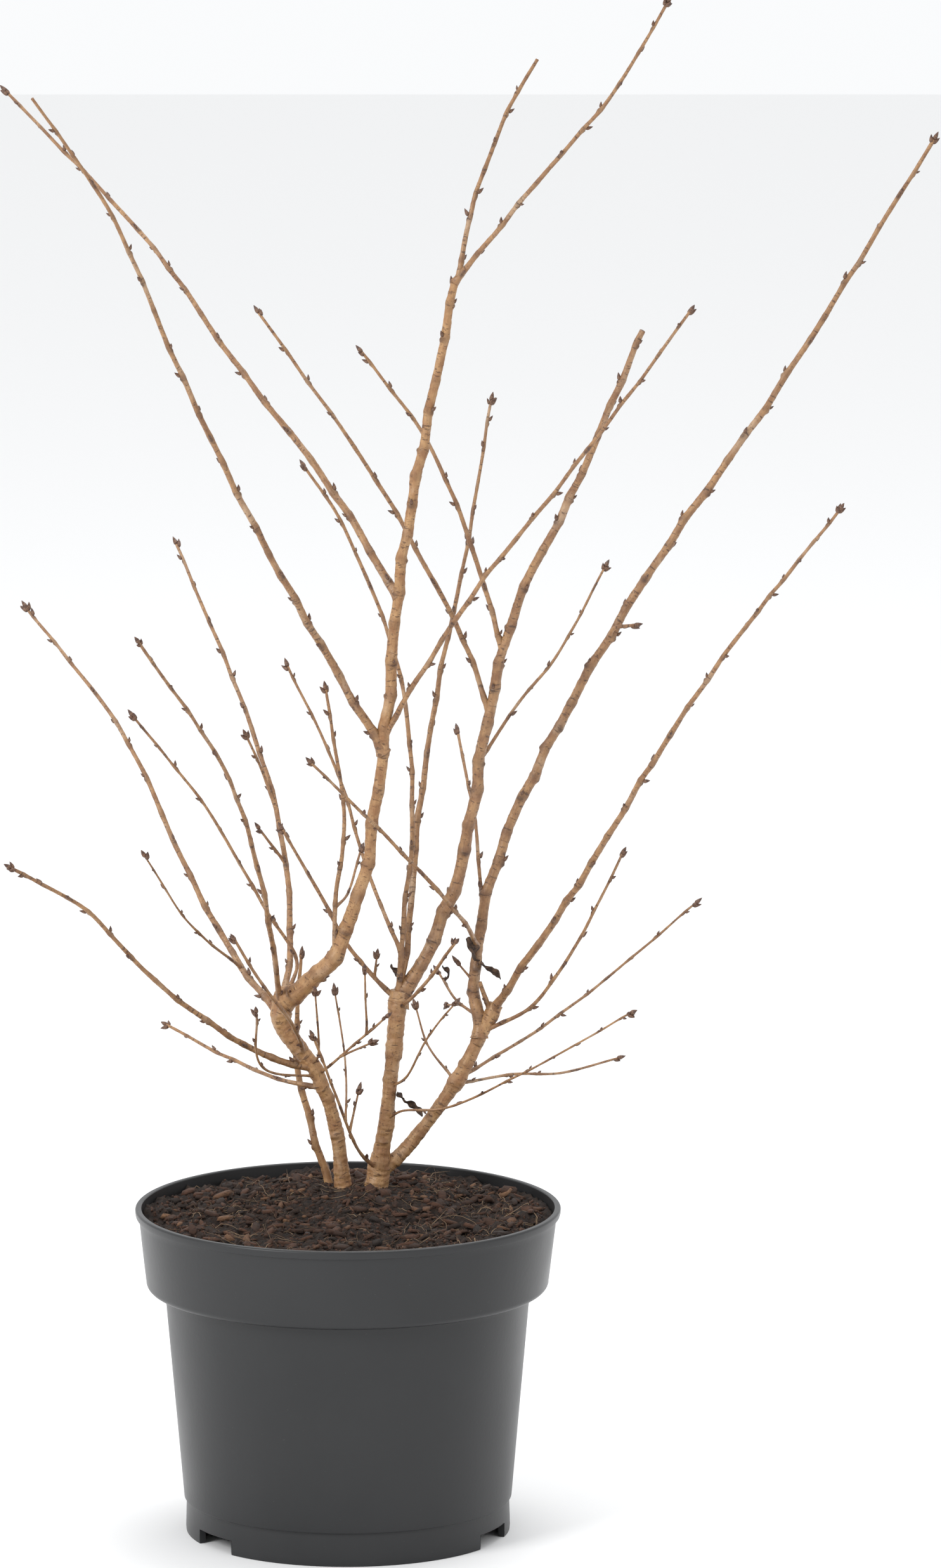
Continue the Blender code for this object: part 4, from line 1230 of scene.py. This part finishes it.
points = pot_points(profile[1:], pot_angles())
pot_heap = Heap()
pot_heap.add(np.vstack([points.reshape(-1, 3), [[0, 0, FLOOR_TOP], [0, 0, 0]]]),
             grid_faces(*points.shape[:2]))
print("the pot's rings have", points.shape[1], "points")

# %% [markdown]
# ## The pot's plastic
# The plastic is nearly black, and reads as dark grey in bright light.  A single
# colour would look like paint.  So it gets faint clouds in colour and gloss, a fine
# grain from the mould, and specks of pale dust.

# %% The pot's finish
CLOUDS = Pattern(14.0, 4.0, 0.35, 0.7)
DUST = Pattern(900.0, 2.0, 0.70, 0.80, roughness=0.7)
MOULD_GRAIN = Pattern(500.0, 3.0)
PLASTIC_DARK = paint(0.013, 0.0135, 0.0145)
PLASTIC_LIGHT = paint(0.018, 0.0185, 0.0195)
DUST_COLOUR = paint(0.07, 0.068, 0.065)
DUST_SHOWS = 0.4
PLASTIC_SMOOTH = 0.32
PLASTIC_ROUGH = 0.42
PLASTIC_SHINE = 0.4
PLASTIC_RELIEF = 0.0001
PLASTIC_BUMP = 0.35
SHARP_ANGLE = np.radians(40)

pot_finish = Finish("grey_plastic", (0.016, 0.016, 0.017), 0.34)
spot = pot_finish.place()
clouds = pot_finish.marks(spot, CLOUDS)
plastic = pot_finish.mix(clouds, PLASTIC_DARK, PLASTIC_LIGHT)
dusty = pot_finish.tint(DUST_SHOWS, pot_finish.marks(spot, DUST), plastic, DUST_COLOUR)
pot_finish.use(dusty, "Base Color")
pot_finish.use(pot_finish.between(clouds, 0.0, 1.0, PLASTIC_SMOOTH, PLASTIC_ROUGH), "Roughness")
pot_finish.shader.inputs["Specular IOR Level"].default_value = PLASTIC_SHINE
pot_finish.bump(pot_finish.noise(spot, MOULD_GRAIN), PLASTIC_RELIEF, PLASTIC_BUMP)
pot = pot_heap.piece("grey_pot", pot_finish.material, "pot_plastic")
pot.data.set_sharp_from_angle(angle=SHARP_ANGLE)
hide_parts("pot")

# %% [markdown]
# ## The bed of soil
# Potting soil is peat with bark chips, crumbs and pale root fibres.  Displacement
# of a flat disc could give its lumps.  A round grid raised by waves of three sizes
# does the same, and the chips and fibres can ask it for the height at any place.
# It is nearly level where the stems stand.

# %% The soil's height
SOIL_AT_WALL = 0.1425
SOIL_GAP = 0.0004
PLANTED_AT = np.array([0.004, 0.038])
LEVEL_RADIUS = 0.021
MOUND_RADIUS = 0.058
CALM = 0.35
Lumps = namedtuple("Lumps", "height size seed")
SOIL_LUMPS = [Lumps(0.0012, 0.03, 11), Lumps(0.0009, 0.010, 12), Lumps(0.0006, 0.0034, 13)]
SOIL_EDGE = float(wall_radius(SOIL_AT_WALL)) - WALL - SOIL_GAP


def soil_height(x, y):
    """Nearly level round the stems, falling smoothly to the wall, and lumpier away from them."""
    away = np.hypot(x - PLANTED_AT[0], y - PLANTED_AT[1])
    fall = np.clip((away - LEVEL_RADIUS) / (MOUND_RADIUS - LEVEL_RADIUS), 0, 1)
    fall = fall * fall * (3 - 2 * fall)
    flat = np.stack([x, y, 0 * x], axis=-1).reshape(-1, 3)
    lumps = sum(part.height * waves(flat, part.size, part.seed) for part in SOIL_LUMPS)
    lumps = lumps.reshape(x.shape) * (CALM + (1 - CALM) * fall)
    return GROUND + (SOIL_AT_WALL - GROUND) * fall + lumps


print("the soil's radius:", round(SOIL_EDGE, 4))

# %% The bed's surface
SOIL_RINGS = 110
SOIL_COLUMNS = 320
INNERMOST = 0.004
SKIRT_SHARE = 0.93
SKIRT_FOOT = BAND_BOTTOM + 0.004

ring_angles = round_angles(SOIL_COLUMNS)
ring_radii = SOIL_EDGE * np.linspace(1, INNERMOST, SOIL_RINGS)[:, None]
bed_x, bed_y = ring_radii * np.cos(ring_angles), ring_radii * np.sin(ring_angles)
bed = np.stack([bed_x, bed_y, soil_height(bed_x, bed_y)], axis=-1)
skirt = np.stack([bed_x[0] * SKIRT_SHARE, bed_y[0] * SKIRT_SHARE, 0 * bed_x[0] + SKIRT_FOOT], -1)
middle_height = float(soil_height(np.zeros(1), np.zeros(1))[0])
middle = [[0, 0, SKIRT_FOOT], [0, 0, middle_height]]
bed_heap = Heap()
bed_heap.add(np.vstack([skirt, bed.reshape(-1, 3), middle]), grid_faces(SOIL_RINGS + 1, SOIL_COLUMNS))
print("the soil lies from", round(float(bed[..., 2].min()), 4), "to", round(float(bed[..., 2].max()), 4))

# %% The bed's finish
PEAT_GRAIN = Pattern(420.0, 5.0, 0.35, 0.68, roughness=0.65)
PEAT_PATCHES = Pattern(70.0, 4.0, 0.4, 0.65)
PEAT_CLODS = Pattern(700.0, 6.0, roughness=0.7)
PEAT_DARK = paint(0.003, 0.0018, 0.0012)
PEAT_LIGHT = paint(0.036, 0.017, 0.0085)
PATCH_COLOUR = paint(0.012, 0.006, 0.004)
PATCHES_SHOW = 0.5
PEAT_RELIEF = 0.0012
PEAT_BUMP = 0.9

peat = Finish("peat", (0.03, 0.016, 0.01), 0.95)
spot = peat.place()
earth = peat.mix(peat.marks(spot, PEAT_GRAIN), PEAT_DARK, PEAT_LIGHT)
earth = peat.tint(PATCHES_SHOW, peat.marks(spot, PEAT_PATCHES), earth, PATCH_COLOUR)
peat.use(earth, "Base Color")
peat.bump(peat.noise(spot, PEAT_CLODS), PEAT_RELIEF, PEAT_BUMP)
bed_piece = bed_heap.piece("soil_bed", peat.material, "soil")
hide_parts("soil")

# %% [markdown]
# ## Chips and crumbs
# Bump alone never breaks the soil's outline against the far side of the pot, so
# the crumbs of peat and the flakes of bark are small shapes of their own,
# scattered evenly.  A particle system could scatter them, but particles are lost
# when a scene is exported.  Each has its own tone, from black peat to orange bark.

# %% The shapes of a crumb and a chip
CRUMB_BULGES = (0.7, 1.15)
CRUMB_SEED = 5
CHIP_CORNERS = np.radians([0, 48, 115, 180, 232, 300])
CHIP_REACH = np.array([1.0, 0.8, 0.95, 1.05, 0.85, 0.9])
CHIP_BEVEL = 0.86
CHIP_THINNER = 0.5
CHIP_CROWN = 0.9


def crumb_shape():
    """A rough eight-faced lump: the six ends of a cross, each pushed in or out."""
    ends = np.array([[1, 0, 0], [0, 1, 0], [-1, 0, 0], [0, -1, 0], [0, 0, 1], [0, 0, -1.0]])
    ends = ends * np.random.default_rng(CRUMB_SEED).uniform(*CRUMB_BULGES, (len(ends), 1))
    side = np.arange(4)
    onward = (side + 1) % 4
    upper = np.stack([side, onward, np.full(4, 4)], axis=-1)
    lower = np.stack([onward, side, np.full(4, 5)], axis=-1)
    return ends, [np.concatenate([upper, lower])]


def chip_shape():
    """A flake of bark: an uneven six-sided slab, thinner at one end."""
    rim = np.stack([CHIP_REACH * np.cos(CHIP_CORNERS), CHIP_REACH * np.sin(CHIP_CORNERS)], axis=-1)
    low = np.column_stack([rim, np.full(len(rim), -1.0)])
    high = np.column_stack([rim * CHIP_BEVEL, 1.0 - CHIP_THINNER * (rim[:, 0] > 0)])
    points = np.vstack([low, high, [[0, 0, -1.0]], [[0, 0, CHIP_CROWN]]])
    return points, grid_faces(2, len(rim))


crumb, crumb_blocks = crumb_shape()
chip, chip_blocks = chip_shape()
print("points of a crumb and a chip:", len(crumb), len(chip))

# %% Scattering over the soil
def on_soil(number, chance, margin):
    """Random places spread evenly over the soil, with its height there: the distance from
    the middle is the root of an even number."""
    radius = (SOIL_EDGE - margin) * np.sqrt(chance.uniform(0, 1, number))
    angle = chance.uniform(0, FULL_TURN, number)
    x, y = radius * np.cos(angle), radius * np.sin(angle)
    return np.stack([x, y, soil_height(x, y)], axis=-1)


def scatter(heap, shape, blocks, roots, directions, spins, sizes, tones):
    """Add a copy of a shape at every root, each with one tone for all its points."""
    axes = frames_along(unit(directions), spins)
    heap.add(copies(shape, roots, axes, sizes), copied_faces(blocks, len(shape), len(roots)),
             tone=np.repeat(tones, len(shape)))


print("places may lie up to", round(SOIL_EDGE, 4), "from the pot's axis")

# %% Crumbs of peat
CRUMBS = 5200
CRUMB_STRETCH = (0.6, 1.3)
CRUMB_LEAST = 0.0004
CRUMB_MORE = 0.0011
CRUMB_POWER = 0.5
CRUMB_TONES = (0, 0.8)
CRUMB_MARGIN = 0.003

earth_heap = Heap()
at = on_soil(CRUMBS, chance, CRUMB_MARGIN)
directions = chance.normal(size=(CRUMBS, 3))
spins = chance.uniform(0, FULL_TURN, CRUMBS)
stretch = chance.uniform(*CRUMB_STRETCH, (CRUMBS, 3))
sizes = stretch * (CRUMB_LEAST + CRUMB_MORE * chance.power(CRUMB_POWER, (CRUMBS, 1)))
tones = chance.uniform(*CRUMB_TONES, CRUMBS)
scatter(earth_heap, crumb, crumb_blocks, at, directions, spins, sizes, tones)
print("the largest crumb is", round(2 * float(sizes.max()) / MM, 1), "mm across")

# %% Chips of bark
CHIPS = 900
CHIP_LEAN = 0.35
CHIP_LEAST = 0.0012
CHIP_MORE = 0.0042
CHIP_POWER = 0.45
CHIP_WIDTHS = (0.3, 0.75)
CHIP_THIN = 0.0003
CHIP_THICKER = 0.12
CHIP_TONES = (0.1, 1.0)
CHIP_TONE_POWER = 1.3
CHIP_LIFT = np.array([0, 0, 0.0006])
CHIP_MARGIN = 0.006

at = on_soil(CHIPS, chance, CHIP_MARGIN) + CHIP_LIFT
directions = np.stack([chance.normal(0, CHIP_LEAN, CHIPS), chance.normal(0, CHIP_LEAN, CHIPS),
                       np.ones(CHIPS)], axis=-1)
spins = chance.uniform(0, FULL_TURN, CHIPS)
length = CHIP_LEAST + CHIP_MORE * chance.power(CHIP_POWER, CHIPS)
width = length * chance.uniform(*CHIP_WIDTHS, CHIPS)
sizes = np.stack([length, width, CHIP_THIN + CHIP_THICKER * length], axis=-1)
tones = chance.uniform(*CHIP_TONES, CHIPS) ** CHIP_TONE_POWER
scatter(earth_heap, chip, chip_blocks, at, directions, spins, sizes, tones)
print("the largest chip is", round(2 * float(length.max()) / MM, 1), "mm long")

# %% The finish of chips and crumbs
EARTH_GRAIN = Pattern(800.0, 4.0, 0.45, 0.7, stretch=(1, 1, 2.5))
EARTH_GRAIN_SHOWS = 0.6
TO_BARK = (0.0, 0.6)
TO_ORANGE = (0.85, 1.0)
EARTH_DARK = paint(0.006, 0.0035, 0.0022)
EARTH_BARK = paint(0.062, 0.025, 0.012)
EARTH_ORANGE = paint(0.15, 0.075, 0.036)
GRAIN_COLOUR = paint(0.007, 0.0035, 0.0022)
EARTH_RELIEF = 0.0004
EARTH_BUMP = 0.8

earth_finish = Finish("chips_and_crumbs", (0.1, 0.05, 0.03), 0.9)
tone = earth_finish.stored("tone")
grain = earth_finish.noise(earth_finish.place(), EARTH_GRAIN)
grain_marks = earth_finish.between(grain, EARTH_GRAIN.low, EARTH_GRAIN.high, 0.0, EARTH_GRAIN_SHOWS)
ground = earth_finish.mix(earth_finish.between(tone, *TO_BARK), EARTH_DARK, EARTH_BARK)
ground = earth_finish.mix(earth_finish.between(tone, *TO_ORANGE), ground, EARTH_ORANGE)
earth_finish.use(earth_finish.mix(grain_marks, ground, GRAIN_COLOUR), "Base Color")
earth_finish.bump(grain, EARTH_RELIEF, EARTH_BUMP)
earth_heap.piece("chips_and_crumbs", earth_finish.material, "soil")

# %% [markdown]
# ## Root fibres
# Pale hairs of old roots lie curled on the soil, and a few stand up at one end.
# Curves with a bevel would do for one, but three hundred are quicker as one array:
# each is an arc of nine places with three points round each of them.

# %% The lines of the fibres
FIBRES = 330
FIBRE_PLACES = 9
FIBRE_BEND = 1.2
FIBRE_LENGTHS = (0.006, 0.02)
FIBRE_RISES = (0, 0.006)
RISING_SHARE = 0.25
FIBRE_LIFT = 0.0005
FIBRE_EDGE = 0.001
FIBRE_MARGIN = 0.008


def fibre_lines(number, chance):
    """Thin root hairs: arcs whose direction turns evenly as they run over the soil, kept
    inside the wall, with the height of some rising as the square of the way along."""
    each = (number, 1, 1)
    share = np.linspace(0, 1, FIBRE_PLACES)[None, :, None]
    start = on_soil(number, chance, FIBRE_MARGIN)[:, None, :]
    way = chance.uniform(0, FULL_TURN, each)
    bend = chance.normal(0, FIBRE_BEND, each)
    length = chance.uniform(*FIBRE_LENGTHS, each)
    rise = chance.uniform(*FIBRE_RISES, each) * (chance.uniform(size=each) < RISING_SHARE)
    x = start[..., :1] + length * share * np.cos(way + bend * share)
    y = start[..., 1:2] + length * share * np.sin(way + bend * share)
    keep_in = np.minimum(1, (SOIL_EDGE - FIBRE_EDGE) / np.hypot(x, y))
    x, y = x * keep_in, y * keep_in
    return np.concatenate([x, y, soil_height(x, y) + FIBRE_LIFT + rise * share**2], axis=-1)


lines = fibre_lines(FIBRES, chance)
print("the highest fibre reaches", round(float(lines[..., 2].max()), 4))

# %% The fibres' surface
FIBRE_SIDES = 3
FIBRE_RADII = (0.0001, 0.00024)
FIBRE_TAPER = 0.15
NEARLY_UP = [[[0.1, 0.05, 1.0]]]
FIBRE_DARK = paint(0.05, 0.025, 0.013)
FIBRE_LIGHT = paint(0.27, 0.18, 0.105)


def fibre_points(lines, radius):
    """Points round every place of every fibre, whose radius follows a sine along it."""
    ahead = unit(np.gradient(lines, axis=1))
    across = unit(np.cross(ahead, NEARLY_UP))
    over = np.cross(ahead, across)
    corner = round_angles(FIBRE_SIDES)[:, None]
    ring = np.cos(corner) * across[:, :, None] + np.sin(corner) * over[:, :, None]
    way = np.linspace(FIBRE_TAPER, np.pi - FIBRE_TAPER, lines.shape[1])
    thin = np.sin(way)[None, :, None, None]
    return lines[:, :, None] + radius[:, None, None, None] * thin * ring


rings = fibre_points(lines, chance.uniform(*FIBRE_RADII, FIBRES)).reshape(FIBRES, -1, 3)
body = np.concatenate([rings, lines[:, :1], lines[:, -1:]], axis=1)
fibre_heap = Heap()
fibre_heap.add(body.reshape(-1, 3),
               copied_faces(grid_faces(FIBRE_PLACES, FIBRE_SIDES), body.shape[1], FIBRES),
               tone=np.repeat(chance.uniform(0, 1, FIBRES), body.shape[1]))

fibre_finish = Finish("root_fibres", (0.3, 0.19, 0.11), 0.8)
fibre_tone = fibre_finish.stored("tone")
fibre_finish.use(fibre_finish.mix(fibre_tone, FIBRE_DARK, FIBRE_LIGHT), "Base Color")
fibre_heap.piece("root_fibres", fibre_finish.material, "soil")
